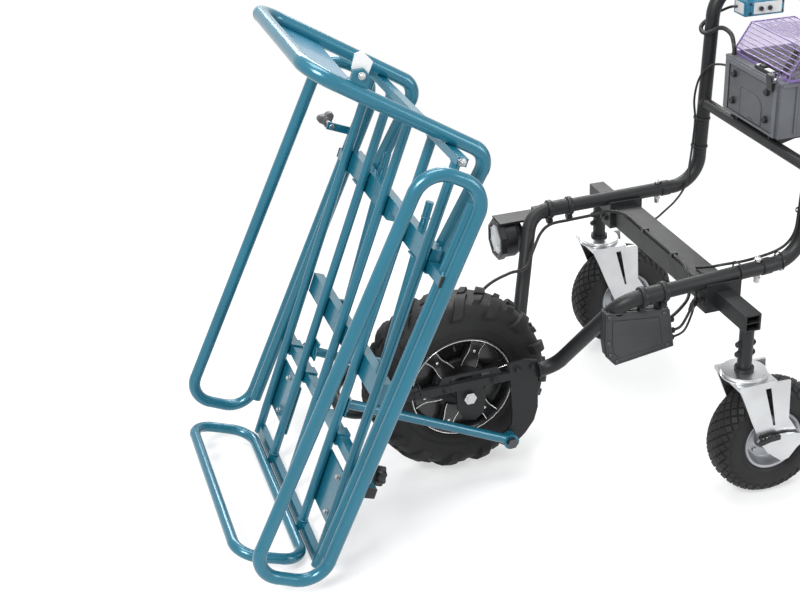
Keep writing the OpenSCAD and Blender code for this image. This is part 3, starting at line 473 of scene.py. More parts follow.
b = Build()
CONDUIT = [(692, 100, 790), (692, 103, 812), (697, 125, 830), (700, 160, 834), (700, 188, 828),
           (693, 203.5, 818), (684.5, 215, 812), (683, 230, 812), (690, 246, 818),
           (705, 251.5, 828), (722, 246, 842), (733, 226, 856), (742, 208, 866), (753, 198, 868)]
CONDUIT_STEPS, RIBBED_SPANS, RIB_STEPS = 40, 9, 3
path = spline([P(*p) for p in CONDUIT], CONDUIT_STEPS)
radii = [0.003 if i > CONDUIT_STEPS * RIBBED_SPANS else 0.0049 if (i // RIB_STEPS) % 2 else 0.0040
         for i in range(len(path))]
b.sweep(path, radii, 16)
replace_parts(b.make("ribbed_conduit", "black_plastic", "chassis", angle=70), "battery_conduit")

# CAD nodes keep their shape and get their finish
FINISH = {
    "dark_paint": "main_tubes handle_tubes fork_plates front_bumper cross_beam beam_extensions "
                  "battery_shelf headlight_bracket",
    "teal_paint": "deck_bars deck_channels front_hoop rear_hoop stiffener_tubes tilt_arms "
                  "slide_guides left_guard right_guard deck_plates",
    "blue_paint": "hoop_gusset handle_box",
    "white_paint": "tray_latch",
    "zinc": "left_caster_fork right_caster_fork left_brake_pedal "
            "right_brake_pedal",
    "steel": "frame_bolts front_axle axle_nuts left_caster_axle right_caster_axle brake_lever",
    "dark_steel": "pivot_bolts",
    "motor_alloy": "hub_motor motor_controller",
    "black_rubber": "handle_grips",
    "black_plastic": "battery_packs lid_latch case_screws headlight_housing lever_clamps "
                     "drive_lever left_clamp_knob right_clamp_knob",
    "grey_plastic": "battery_case",
    "panel_plastic": "battery_panel",
    "box_plastic": "control_box_base control_box_cover",
    "grey_knob": "outer_knob",
    "lens": "headlight_lens",
    "clear_purple": "battery_lid",
    "black_rim": "front_rim",
    "grey_rim": "left_caster_rim right_caster_rim",
    "tyre_rubber": "front_tyre left_caster_tyre right_caster_tyre",
}
for mat, names in FINISH.items():
    for n in names.split():
        me = NODES[n].data
        me.materials.clear()
        me.materials.append(M[mat])


# wheels: built about +z, then laid along the axle
def wheel_at(x, y, z):
    return axes((1, 0, 0), (0, 0, 1), (0, -1, 0), P(x, y, z))


def shift(x, y, z):
    return Matrix.Translation((x, y, z))


def spin(degrees):
    return Matrix.Rotation(math.radians(degrees), 4, "Z")


def lug(b, mtx, ang, prof, half, lift, skew, taper):
    """One tread block that follows the carcass profile from the middle to the shoulder."""
    rows = []
    n = len(prof)
    for i, (r, z) in enumerate(prof):
        s = i / (n - 1)
        pr, pz = prof[max(i - 1, 0)], prof[min(i + 1, n - 1)]
        tr, tz = pz[0] - pr[0], pz[1] - pr[1]
        ln = math.hypot(tr, tz) or 1
        nr, nz = -tz / ln, tr / ln
        if nr < 0 and abs(nr) > abs(nz) * 0.2:
            nr, nz = -nr, -nz
        h = lift * (1 if 0.06 < s < 0.86 else 0.45 if s < 1 else 0.05)
        mid = ang + skew * s
        w = half * (1 - taper * s)
        for dw, dh in ((-w * 1.12, -0.001), (-w * 0.9, h), (w * 0.9, h), (w * 1.12, -0.001)):
            rr, zz = r + nr * dh, z + nz * dh
            a = mid + dw / r
            rows.append((rr * math.cos(a), rr * math.sin(a), zz))
    faces = [[0, 1, 2, 3], [4 * (n - 1) + k for k in (3, 2, 1, 0)]]
    for i in range(n - 1):
        for k in range(3):
            faces.append([4 * i + k, 4 * i + k + 1, 4 * i + 5 + k, 4 * i + 4 + k])
    b.put(rows, faces, mtx)


def curve_profile(pts, steps):
    return [(p.x, p.y) for p in spline([(x, y, 0) for x, y in pts], steps)]


def mirrored(prof):
    """Profile from one bead over the crown to the other bead."""
    return [(r, -z) for r, z in prof] + [(r, z) for r, z in prof[::-1][1:]]


drive = wheel_at(0, 0, AXLE_Z)
half = [(0.113, 0.044), (0.118, 0.050), (0.128, 0.0535), (0.146, 0.0555), (0.162, 0.0545),
        (0.176, 0.050), (0.186, 0.0405), (0.1905, 0.026), (0.1925, 0.0)]
LUGS = 15
b = Build()
b.lathe(mirrored(curve_profile(half, 5)), drive, 128)
for s in (-1, 1):
    for r0, z0 in ((0.1215, 0.0517), (0.1335, 0.0543), (0.1375, 0.0543)):
        b.ring(r0, 0.0012, drive @ shift(0, 0, s * z0), 128, 6)
    crown = [(0.1925, 0.004), (0.1918, 0.015), (0.190, 0.027), (0.1855, 0.040), (0.178, 0.0485),
             (0.168, 0.0525), (0.158, 0.0538)]
    short = [(0.1925, 0.006), (0.1915, 0.018), (0.189, 0.030), (0.184, 0.0405)]
    crown = [(r, s * z) for r, z in crown]
    short = [(r, s * z) for r, z in short]
    for k in range(LUGS):
        a = 2 * math.pi * (k + (0.5 if s > 0 else 0)) / LUGS
        lug(b, drive, a, crown, 0.0115, 0.0098, s * 0.20, 0.05)
        lug(b, drive, a + math.pi / LUGS, short, 0.008, 0.0075, s * 0.13, 0.1)
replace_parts(b.make("drive_tyre_tread", "tyre_rubber", "front_wheel", angle=32), "front_tyre")

# cast drive rim with machined edges: dark barrel and spokes, bright ring and spoke borders
b = Build()
for s in (-1, 1):
    b.lathe([(0.113, s * 0.0455), (0.1145, s * 0.0475), (0.1125, s * 0.0485), (0.1085, s * 0.047),
             (0.104, s * 0.040), (0.102, s * 0.030), (0.101, 0.0), (0.110, 0.0),
             (0.112, s * 0.040)], drive, 128)
    b.lathe([(0.060, s * 0.016), (0.102, s * 0.020), (0.102, s * 0.004), (0.060, s * 0.004)],
            drive, 96)
SPOKES, FIRST_SPOKE = 6, 8
SPOKE_FACE = 0.0405
spoke = [(0.046, -0.0175), (0.062, -0.0165), (0.082, -0.0125), (0.104, -0.0160),
         (0.104, 0.0160), (0.082, 0.0125), (0.062, 0.0165), (0.046, 0.0175)]
bright = Build()
for s in (-1, 1):
    bright.ring(0.1108, 0.0011, drive @ shift(0, 0, s * 0.0486), 128, 8)
    for k in range(SPOKES):
        turn = drive @ spin(FIRST_SPOKE + 360 / SPOKES * k)
        b.prism(spoke, s * 0.018, s * SPOKE_FACE, turn, 0.0015)
        for e in (-1, 1):
            line = spline([(0.046, e * 0.0170, 0), (0.062, e * 0.0158, 0), (0.082, e * 0.0120, 0),
                           (0.106, e * 0.0152, 0)], 6)
            border = [turn @ Vector((p.x, p.y, s * (SPOKE_FACE + max(0, p.x - 0.09) / 4)))
                      for p in line]
            bright.sweep(border, 0.00105, 6)
        bright.cyl(0.0032, s * 0.040, s * 0.0425, turn @ shift(0.083, 0, 0), 20, 0.0006)
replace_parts(b.make("drive_rim_casting", "black_rim", "front_wheel", angle=35), "front_rim")
bright.make("drive_rim_machined_edges", "machined", "front_wheel", angle=50, slot="steel")
COVER_BOLTS = 9
b = Build()
for s in (-1, 1):
    b.lathe([(0.010, s * 0.030), (0.059, s * 0.030), (0.0605, s * 0.032), (0.058, s * 0.0345),
             (0.030, s * 0.0385), (0.026, s * 0.044), (0.0205, s * 0.0465), (0.010, s * 0.0465)],
            drive, 96)
    for k in range(COVER_BOLTS):
        t = drive @ spin(360 * k / COVER_BOLTS) @ shift(0.050, 0, 0)
        b.cyl(0.0032, s * 0.034, s * 0.0385, t, 6, 0.0005)
b.make("hub_cover", "motor_alloy", "front_wheel", angle=35, slot="motor_alloy")


# caster wheels: diamond tread in rows (height, radius, lean), and a pressed disc
CASTER_DIAMONDS = 34
DIAMOND_ROWS = ((0.0, 0.1254, 0.0), (0.0115, 0.1250, 0.1), (0.0215, 0.1228, 0.30),
                (0.0300, 0.1185, 0.62), (0.0365, 0.1115, 0.95))


def diamond(b, hub, angle, side, row):
    """One raised block of the caster tread."""
    z0, r0, lean = row
    out = Vector((math.cos(angle), math.sin(angle), 0))
    x = Vector((-math.sin(angle), math.cos(angle), 0))
    zn = Vector((0, 0, side))
    n = (out * math.cos(lean) + zn * math.sin(lean)).normalized()
    m = hub @ axes(x, n.cross(x), n, out * r0 + zn * z0)
    w = 2 * math.pi * r0 / CASTER_DIAMONDS * 0.46
    base = [(0, -0.0098), (w, 0), (0, 0.0098), (-w, 0)]
    b.put([(px, py, -0.001) for px, py in base]
          + [(px * 0.80, py * 0.80, 0.0027) for px, py in base],
          [[0, 3, 2, 1], [4, 5, 6, 7]] + [[i, (i + 1) % 4, 4 + (i + 1) % 4, 4 + i]
                                          for i in range(4)], m)


def caster_wheel(side_name, y):
    hub = wheel_at(CASTER_X + 64, y, 128.5)
    body = side_name + "_caster_wheel"
    half = [(0.065, 0.0300), (0.070, 0.0370), (0.082, 0.0405), (0.096, 0.0412), (0.108, 0.0385),
            (0.118, 0.031), (0.1238, 0.018), (0.1255, 0.0)]
    b = Build()
    b.lathe(mirrored(curve_profile(half, 5)), hub, 128)
    for s in (-1, 1):
        b.ring(0.0755, 0.0009, hub @ shift(0, 0, s * 0.0392), 96, 6)
    for ri, row in enumerate(DIAMOND_ROWS):
        for s in (-1, 1) if row[0] else (1,):
            for k in range(CASTER_DIAMONDS):
                a = 2 * math.pi * (k + 0.5 * (ri % 2)) / CASTER_DIAMONDS
                diamond(b, hub, a, s, row)
    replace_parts(b.make(side_name + "_caster_tread", "tyre_rubber", body, angle=32),
                side_name + "_caster_tyre")
    b = Build()
    for s in (-1, 1):
        b.lathe([(0.0650, s * 0.0300), (0.0668, s * 0.0325), (0.0645, s * 0.0345),
                 (0.0600, s * 0.0330), (0.0560, s * 0.0250), (0.0535, s * 0.0120),
                 (0.0500, s * 0.0085), (0.0320, s * 0.0080), (0.0280, s * 0.0150),
                 (0.0235, s * 0.0400), (0.0215, s * 0.0440), (0.0065, s * 0.0440),
                 (0.0065, 0.0), (0.0650, 0.0)], hub, 96)
        for k in range(4):
            t = hub @ spin(45 + 90 * k) @ shift(0.041, 0, 0)
            b.cyl(0.0055, s * 0.007, s * 0.0125, t, 6, 0.0007)
        b.ring(0.0165, 0.0012, hub @ shift(0, 0, s * 0.0440), 48, 6)
    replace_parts(b.make(side_name + "_caster_disc", "grey_rim", body, angle=35),
                side_name + "_caster_rim")


for side_name, s in SIDES:
    caster_wheel(side_name, s * CASTER_Y)


# fittings that the solids leave plain
def hexhead(b, at, direction, d, h):
    """Hexagon bolt head, d across its corners and h high, on a washer."""
    m = along(direction, at)
    b.cyl(d * 0.62, 0, 0.0013, m, 28, 0.0003)
    b.prism([(d / 2 * x, d / 2 * y) for x, y in circle(6, 30)], 0.0011, h, m, 0.0007)
    b.cyl(d * 0.27, h - 0.0005, h + 0.0015, m, 16, 0.0004)


def bead(b, centre, direction, radius, thick=0.0022):
    """Weld bead with ripples round a joint."""
    m = along(direction, centre)
    n = 96
    path = [m @ Vector((radius * x, radius * y, 0)) for x, y in circle(n)]
    path.append(path[0])
    b.sweep(path, [thick * (1 + 0.16 * math.sin(math.pi / 2 * i)) for i in range(n + 1)], 8)


def tie(b, at, direction, r):
    """Cable tie round a tube and its cord, with its head."""
    m = along(direction, at)
    b.lathe([(r, -0.0018), (r + 0.0011, -0.0018), (r + 0.0011, 0.0018), (r, 0.0018)], m, 40)
    b.box((r - 0.0002, -0.0025, -0.003), (r + 0.0042, 0.0025, 0.003), m, 0.0006)


def knob(b, mtx, radius, lobes, depth, h):
    """Lobed hand knob with a rounded rim and a boss below it."""
    n = lobes * 16
    flat = [(x * radius * (1 - depth + depth * math.cos(2 * math.pi * i / 16)),
             y * radius * (1 - depth + depth * math.cos(2 * math.pi * i / 16)))
            for i, (x, y) in enumerate(circle(n))]
    rings = [(0.86, 0.0), (0.95, 0.05), (1.0, 0.16), (1.0, 0.80), (0.95, 0.93), (0.84, 1.0),
             (0.45, 0.97), (0.40, 0.88)]
    verts = [(x * k, y * k, h * t) for k, t in rings for x, y in flat]
    faces = [list(range(n - 1, -1, -1)), [(len(rings) - 1) * n + i for i in range(n)]]
    for k in range(len(rings) - 1):
        for i in range(n):
            j = (i + 1) % n
            faces.append([k * n + i, k * n + j, (k + 1) * n + j, (k + 1) * n + i])
    b.put(verts, faces, mtx)


U_DIR = (D(1000, 0, 0) - D(0, 0, 0)).normalized()
N_DIR = (D(0, 0, 1000) - D(0, 0, 0)).normalized()
Y_DIR = Vector((0, 1, 0))


def deck_box(b, u, y, n, bevel=0.0):
    """Box in deck coordinates, in mm."""
    lo, hi = [[v[i] / 1000 for v in (u, y, n)] for i in (0, 1)]
    b.box(lo, hi, axes(U_DIR, Y_DIR, N_DIR, D(0, 0, 0)), bevel)


def thread(b, mtx, r, start, pitch, turns):
    """Fine rings that read as a screw thread."""
    for k in range(turns):
        b.ring(r, 0.00045, mtx @ shift(0, 0, start + pitch * k), 24, 5)


# knobs
for side_name, s in SIDES:
    b = Build()
    m = axes(U_DIR, N_DIR.cross(U_DIR), N_DIR, D(222, s * 270, -96))
    knob(b, m, 0.0205, 7, 0.11, 0.018)
    b.cyl(0.0105, 0.016, 0.024, m, 32, 0.001)
    star = b.make(side_name + "_star_knob", "black_plastic", side_name + "_knob", angle=38)
    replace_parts(star, side_name + "_clamp_knob")
    b = Build()
    b.cyl(0.0038, 0.020, 0.0378, m, 24, 0.0005)
    thread(b, m, 0.0037, 0.0235, 0.00125, 11)
    b.cyl(0.0030, 0.0145, 0.0168, m, 6)
    b.make(side_name + "_knob_stud", "steel", side_name + "_knob", angle=40, slot="steel")
b = Build()
m = along(Y_DIR, D(708, 383, -8))
knob(b, m, 0.0200, 3, 0.20, 0.018)
b.cyl(0.0095, -0.006, 0.002, m, 32, 0.001)
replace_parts(b.make("lug_knob_head", "grey_knob", "lug_knob", angle=38), "outer_knob")
b = Build()
b.cyl(0.0039, -0.040, -0.004, m, 24, 0.0004)
thread(b, m, 0.0038, -0.037, 0.0015, 20)
b.cyl(0.0058, -0.0425, -0.0400, m, 24, 0.0005)
b.make("lug_knob_stud", "steel", "lug_knob", angle=40, slot="steel")

# plugs in the open ends of the slides and bars
for side_name, s in SIDES:
    b = Build()
    for u0 in (212, 647.5):
        y = sorted((s * 338, s * 341.5))
        deck_box(b, (u0 - 0.6, u0 + 20.6), y, (-58.4, -37.2), 0.001)
    b.make(side_name + "_slide_caps", "black_plastic", side_name + "_side", angle=30,
           slot="black_plastic")
BAR_Y = (-260, -130, 0, 130, 260)
b = Build()
for y in BAR_Y:
    m = along(-U_DIR, D(2.4, y, -28))
    b.cyl(0.0088, -0.001, 0.0012, m, 32, 0.0006)
b.make("bar_plugs", "black_plastic", "tray", angle=35, slot="black_plastic")

# bolts and weld beads of the deck
b = Build()
for y in (-230, -165, 165, 230):
    hexhead(b, D(385, y, -58.8), -N_DIR, 0.013, 0.0065)
for s in (-1, 1):
    hexhead(b, D(861, s * 284, -28), Y_DIR * s, 0.013, 0.0065)
for s in (-1, 1):
    for u in (92, 172):
        hexhead(b, D(u, s * 205, -37.4), N_DIR, 0.011, 0.0055)
    for u in (276, 300):
        hexhead(b, D(u, s * 121, -40.4), -N_DIR, 0.012, 0.006)
b.make("deck_bolts", "steel", "tray", angle=35, slot="steel")
b = Build()
for y in BAR_Y:
    bead(b, D(854, y, -28), U_DIR, 0.0098, 0.0016)
    if abs(y) < BAR_Y[-1]:
        bead(b, D(24, y, -28), U_DIR, 0.0098, 0.0016)
for s in (-1, 1):
    bead(b, D(286, s * 112, -38.5), -N_DIR, 0.0106, 0.0018)
    bead(b, D(704, s * 135, -64.7), U_DIR, 0.0081, 0.0013)
b.make("deck_welds", "teal_paint", "tray", angle=60, slot="teal_paint")
b = Build()
hexhead(b, D(946, -194.4, 166), Y_DIR, 0.013, 0.006)
hexhead(b, D(946, -213.2, 166), -Y_DIR, 0.011, 0.004)
b.make("catch_pivot_nut", "zinc", "catch", angle=35, slot="zinc")
b = Build()
b.sweep([D(950, -190, 152), D(930, -130, 147), D(900, -60, 139), D(880, -20, 132)], 0.0016, 10)
b.sweep([D(880, -20, 132), D(874, -12, 128), D(868, -8, 120)], 0.0022, 10)
b.make("catch_pull_rod", "zinc", "tray", angle=60, slot="zinc")

# frame: joints, clamps, welds and ties
SLOPE_A, SLOPE_B = (273, 238, 441), (616, 226, 452)
HANDLE_FOOT, HANDLE_TOP = 454.3, 905


def on_main(x, s):
    """Point on the centre line of a main tube's slope."""
    t = (x - SLOPE_A[0]) / (SLOPE_B[0] - SLOPE_A[0])
    x, y, z = [a + (b - a) * t for a, b in zip(SLOPE_A, SLOPE_B)]
    return P(x, s * y, z)


def on_handle(z, s):
    """Point on the centre line of a handle's upright."""
    t = (z - HANDLE_FOOT) / (HANDLE_TOP - HANDLE_FOOT)
    return P(688 + 21 * t, s * (223.5 + 2.5 * t), z)


GRIP_RIBS = 17
TIE_Z = {-1: (560, 700, 820), 1: (545, 612)}
grips = []
for name, s in SIDES:
    main_dir = (on_main(600, s) - on_main(300, s)).normalized()
    up_dir = (on_handle(800, s) - on_handle(500, s)).normalized()
    b = Build()
    for x0, x1 in ((312, 324), (360, 372)):
        m = along(main_dir, on_main(x0, s))
        b.lathe([(0.0172, 0.0), (0.0205, 0.0008), (0.0212, 0.002), (0.0212, 0.010),
                 (0.0205, 0.0112), (0.0172, 0.012)], m, 64)
        b.box((-0.006, -0.0055, -0.034), (0.006, 0.0055, -0.016),
              Matrix.Translation(on_main((x0 + x1) / 2, s)), 0.0008)
    b.make(name + "_sleeve_clamps", "dark_paint", "chassis", angle=35, slot="dark_paint")
    b = Build()
    hexhead(b, on_main(586, s) + Vector((0, 0, 0.0204)), (0, 0, 1), 0.013, 0.004)
    hexhead(b, on_main(586, s) - Vector((0, 0, 0.0204)), (0, 0, -1), 0.013, 0.012)
    b.make(name + "_frame_fasteners", "steel", "chassis", angle=35, slot="steel")
    b = Build()
    bead(b, P(694, s * 211, 650), (0, 1, 0), 0.0128)
    bead(b, P(CASTER_X, s * CASTER_Y, 392), (0, 0, 1), 0.0153)
    bead(b, P(151, s * 100, 240), (1, 0, 0), 0.0158, 0.0026)
    bead(b, on_main(594.5, s), main_dir, 0.0162, 0.0014)
    bead(b, P(-107, s * 86, 240), (1, 0, 0), 0.0134, 0.0022)
    for x in (318, 366):
        at = on_main(x, s)
        hexhead(b, at + Vector((0, 0.0056, -0.027)), Y_DIR, 0.011, 0.006)
        hexhead(b, at + Vector((0, -0.0056, -0.027)), -Y_DIR, 0.011, 0.005)
    for z in (356, 334):
        hexhead(b, P(CASTER_X - 15.2, s * CASTER_Y, z), (-1, 0, 0), 0.012, 0.007)
        hexhead(b, P(CASTER_X + 15.2, s * CASTER_Y, z), (1, 0, 0), 0.012, 0.005)
    for y in (225, 240):
        hexhead(b, P(456.2, s * y, 402), (-1, 0, 0), 0.011, 0.0055)
    for x, z in ((-52, 237), (52, 237), (104, 250), (138, 250)):
        hexhead(b, P(x, s * 100.2, z), (0, s, 0), 0.013, 0.0065)
    for y in (206, 249):
        path = [P(457 + 8 * i, s * y, 444.9) for i in range(11)]
        b.sweep(path, [0.0016 + 0.0003 * (i % 2) for i in range(11)], 8)
    b.make(name + "_frame_welds", "dark_paint", "chassis", angle=60, slot="dark_paint")
    b = Build()
    for z in TIE_Z[s]:
        tie(b, on_handle(z, s) + Vector((-0.0028, 0, 0)), up_dir, 0.0187)
    if name == "left":
        for x in (540, 640):
            tie(b, on_main(x, s) + Vector((0, 0.002, 0.0022)), main_dir, 0.0188)
    else:
        for y in (60, -75):
            b.box((-0.006, -0.005, -0.0045), (0.009, 0.005, 0.0045),
                  Matrix.Translation(P(471, y, 437)), 0.001)
    b.make(name + "_cable_ties", "black_plastic", "chassis", angle=35, slot="black_plastic")
    b = Build()
    grip_dir = (P(1001, s * 226, 935) - P(709, s * 226, 905)).normalized()
    m = along(grip_dir, P(881, s * 226, 922.67))
    prof = [(0.0158, 0.0), (0.0215, 0.0), (0.0225, 0.002), (0.0215, 0.004)]
    for k in range(GRIP_RIBS):
        z = 0.007 + 0.0062 * k
        prof += [(0.0190, z), (0.0190, z + 0.0034), (0.0176, z + 0.0042), (0.0176, z + 0.0054)]
    prof += [(0.0188, 0.1155), (0.0190, 0.1175), (0.0180, 0.1200), (0.0100, 0.1206), (0.0, 0.1206),
             (0.0, 0.1170), (0.0158, 0.1170)]
    b.lathe(prof, m, 64)
    grips.append(b.make(name + "_ribbed_grip", "black_rubber", "chassis", angle=40,
                        slot="black_rubber"))
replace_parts(grips[0], "handle_grips")

# headlight: octagonal bezel, bright reflector, domed lens, cooling rings
lm = along((-1, 0, 0), P(206, 266, 376))
b = Build()
b.lathe([(0.0375, -0.004), (0.0455, -0.008), (0.0480, -0.004), (0.0480, 0.0085), (0.0455, 0.0105),
         (0.0385, 0.0105), (0.0375, 0.008)], lm @ spin(22.5), 8)
for k in range(4):
    near, wide = -0.020 - 0.0085 * k, 0.0425 - 0.002 * k
    b.lathe([(0.024, near), (wide, near), (wide, near - 0.003), (0.024, near - 0.003)], lm, 64)
b.make("headlight_bezel", "black_plastic", "chassis", angle=30, slot="black_plastic")
b = Build()
b.lathe([(0.0380, 0.0060), (0.0340, 0.0000), (0.0260, -0.0035), (0.0140, -0.0052),
         (0.0075, -0.0055), (0.0075, -0.0058), (0.0390, -0.0058), (0.0390, 0.0060)], lm, 96)
b.ring(0.0372, 0.0012, lm @ shift(0, 0, 0.0068), 96, 8)
b.make("headlight_reflector", "machined", "chassis", angle=50, slot="zinc")
b = Build()
b.cyl(0.0065, -0.0054, -0.0030, lm, 32, 0.0006)
b.cyl(0.0042, -0.0032, -0.0018, lm, 24, 0.0004)
b.make("headlight_led", "white_paint", "chassis", angle=40, slot="white_paint")
b = Build()
dome = [(0.0372 * math.sin(math.radians(a)), 0.0060 + 0.0050 * math.cos(math.radians(a)))
        for a in range(0, 91, 9)]
b.lathe([(max(r, 0.0001), z) for r, z in dome] + [(0.0372, 0.0045)]
        + [(max(r * 0.97, 0.0001), z - 0.0018) for r, z in dome[::-1][1:]], lm, 96)
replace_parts(b.make("headlight_glass", "lens", "chassis", angle=60), "headlight_lens")

# battery case: frame round the panel, service cover, latch and sight lid ribs
b = Build()
for lo, hi in (((676, -104, 780.5), (682, 104, 791)), ((676, -104, 675.5), (682, 104, 680.5)),
               ((676, 90.5, 680), (682, 104, 781)), ((676, -104, 680), (682, -90.5, 781)),
               ((679, -113, 789), (699, 113, 794.5))):
    b.mm_box(lo, hi, 0.0014)
for s in (-1, 1):
    for x in (716, 752, 788, 824):
        y = sorted((s * 114.5, s * 118))
        b.mm_box((x, y[0], 684), (x + 4, y[1], 786), 0.001)
    y = sorted((s * 114.5, s * 119))
    b.mm_box((683, y[0], 786), (859, y[1], 791.5), 0.0012)
b.make("battery_case_frame", "grey_plastic", "chassis", angle=30, slot="grey_plastic")
b = Build()
cover = [(-0.048, 0.684), (0.036, 0.684), (0.036, 0.742), (-0.020, 0.742), (-0.036, 0.738),
         (-0.045, 0.728), (-0.048, 0.716)]
b.prism(cover, -0.0016, 0.0008, axes((0, 1, 0), (0, 0, 1), (1, 0, 0), (0.4465, 0, 0)), 0.0008)
b.make("service_cover", "panel_plastic", "chassis", angle=30, slot="grey_plastic")
b = Build()
for lo, hi in (((-90.5, 680.5), (-88.2, 779.5)), ((88.2, 680.5), (90.5, 779.5)),
               ((-90.5, 778.2), (90.5, 780.5)), ((-90.5, 680), (90.5, 681.8)),
               ((37.5, 682), (40, 743))):
    b.mm_box((677.2, *lo), (681.6, *hi))
for y, z in ((-5, 689), (-14, 688)):
    b.cyl(0.0022, 0, 0.0003, along((-1, 0, 0), P(676.2, y, z)), 20)
b.make("panel_gaps", "black_plastic", "chassis", angle=30, slot="black_plastic")
b = Build()
for y in (67, -67):
    for z in (764, 705):
        m = along((-1, 0, 0), P(678, y, z))
        knob(b, m, 0.0072, 12, 0.05, 0.0078)
        b.cyl(0.0086, 0, 0.0014, m, 32, 0.0004)
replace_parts(b.make("panel_thumbscrews", "black_plastic", "chassis", angle=35), "case_screws")
b = Build()
b.mm_box((684.5, -62, 794), (698, 2, 802), 0.0012)
b.mm_box((687, -30, 801.8), (696.5, -12, 806.5), 0.001)
b.make("lid_stop_bracket", "black_plastic", "chassis", angle=30, slot="black_plastic")
b = Build()
b.mm_box((686, -58, 801.8), (697, -34, 803.4), 0.0006)
b.mm_box((686, -8, 801.8), (697, 0, 803.4), 0.0004)
b.make("lid_stop_plate", "white_paint", "chassis", angle=30, slot="white_paint")
b = Build()
LID_Y = (-109, 109)
LID_SPANS = 6
for y in LID_Y:
    b.sweep([P(700.6, y, 796), P(700.8, y, 808.5), P(734.8, y, 858.6), P(841, y, 858.6),
             P(860.8, y, 812.5)], 0.0014, 8)
for t in [k / LID_SPANS for k in range(1, LID_SPANS)]:
    b.sweep([P(700.6 + 34 * t, y, 808.9 + 50 * t) for y in LID_Y], 0.0011, 8)
    b.sweep([P(734.8 + 106 * t, y, 858.8) for y in LID_Y], 0.0011, 8)
for x, z in ((700.4, 809), (734.6, 858.8), (841, 858.8)):
    b.sweep([P(x, y, z) for y in LID_Y], 0.0016, 8)
for lo, hi in (((698.5, -110, 792.8), (701.5, 110, 799)),
               ((701, -111.5, 792.8), (860, -109.5, 799)),
               ((701, 109.5, 792.8), (860, 111.5, 799))):
    b.mm_box(lo, hi, 0.0006)
b.make("lid_ribs", "purple_rib", "lid", angle=40, slot="clear_purple")
b = Build()
slope = Vector((34, 0, 50)).normalized()
lat = axes(slope, Y_DIR, slope.cross(Y_DIR), P(703, -86, 811))
for k in range(6):
    x0 = 0.002 + 0.0075 * k
    b.box((x0, -0.011, -0.013), (x0 + 0.0052, 0.011, 0.001), lat, 0.001)
b.box((0.0, -0.0085, -0.010), (0.047, 0.0085, 0.001), lat, 0.001)
b.make("lid_buckle", "black_plastic", "lid", angle=30, slot="black_plastic")

# control box: rim, raised field, screws and glands
BOX = [(240, 419), (380, 403), (393, 317), (262, 300), (245, 320), (240, 352)]
BOX_MID = [sum(p[i] for p in BOX) / len(BOX) for i in (0, 1)]


def inset(k, y):
    """Corners of the box's outline at a scale about its middle."""
    return [P(BOX_MID[0] + (x - BOX_MID[0]) * k, y, BOX_MID[1] + (z - BOX_MID[1]) * k)
            for x, z in BOX]


b = Build()
for k, y, r in ((0.985, -238.2, 0.0018), (1.006, -229.0, 0.0013)):
    loop = inset(k, y)
    for corner, following in zip(loop, loop[1:] + loop[:1]):
        b.sweep([corner, following], r, 8)
        b.ring(r * 0.5, r * 0.5, Matrix.Translation(corner), 12, 6)
b.prism([(p.x, p.z) for p in inset(0.74, 0)], 0.2375, 0.2392,
        axes((1, 0, 0), (0, 0, 1), (0, -1, 0), (0, 0, 0)), 0.0012)
b.make("control_box_rim", "box_plastic", "chassis", angle=35, slot="black_plastic")
b = Build()
for p in inset(0.87, -238.0):
    m = along((0, -1, 0), p)
    b.cyl(0.0046, 0, 0.0022, m, 28, 0.0008)
    b.cyl(0.0021, 0.0018, 0.0024, m, 6)
b.make("control_box_screws", "dark_steel", "chassis", angle=35, slot="steel")
b = Build()
for x, z, length in ((386.0, 372, 0.013), (389.5, 346, 0.013), (391.0, 330, 0.010)):
    m = along((1, 0, -0.12), P(x - 2, -225, z))
    b.cyl(0.0072, 0, 0.004, m, 6, 0.0005)
    b.cyl(0.0062, 0.004, length, m, 32, 0.0012)
b.sweep(spline([P(398, -225, 345), P(416, -226, 352), P(432, -229, 384), P(441, -230, 408),
                P(447, -226, 420)], 10), 0.003, 12)
b.sweep(spline([P(398, -225, 329), P(424, -224, 338), P(441, -222, 372), P(449, -220, 404),
                P(452, -216, 420)], 10), 0.0025, 12)
for at, d in ((P(436, -229.5, 394), (0.28, 0, 1)), (P(447, -220.5, 396), (0.2, 0, 1))):
    m = along(d, at)
    b.box((-0.006, -0.0045, -0.009), (0.006, 0.0045, 0.009), m, 0.001)
    b.cyl(0.0040, 0.009, 0.014, m, 24, 0.0006)
b.make("control_box_leads", "black_plastic", "chassis", angle=35, slot="black_plastic")

# switch box under the right handle
b = Build()
b.mm_box((773, 164, 856), (843, 166.2, 881), 0.0007)
b.mm_box((750.8, 172, 856), (752.2, 208, 880), 0.0005)
b.make("switch_box_plate", "white_paint", "chassis", angle=30, slot="white_paint")
b = Build()
for x, z in ((765, 858), (765, 879), (846, 858), (846, 879)):
    m = along((0, -1, 0), P(x, 166, z))
    b.cyl(0.0030, 0, 0.0022, m, 24, 0.0006)
for x in (790, 812):
    m = along((0, -1, 0), P(x, 164, 868))
    b.cyl(0.0052, 0, 0.0050, m, 32, 0.001)
b.make("switch_box_buttons", "black_plastic", "chassis", angle=35, slot="black_plastic")
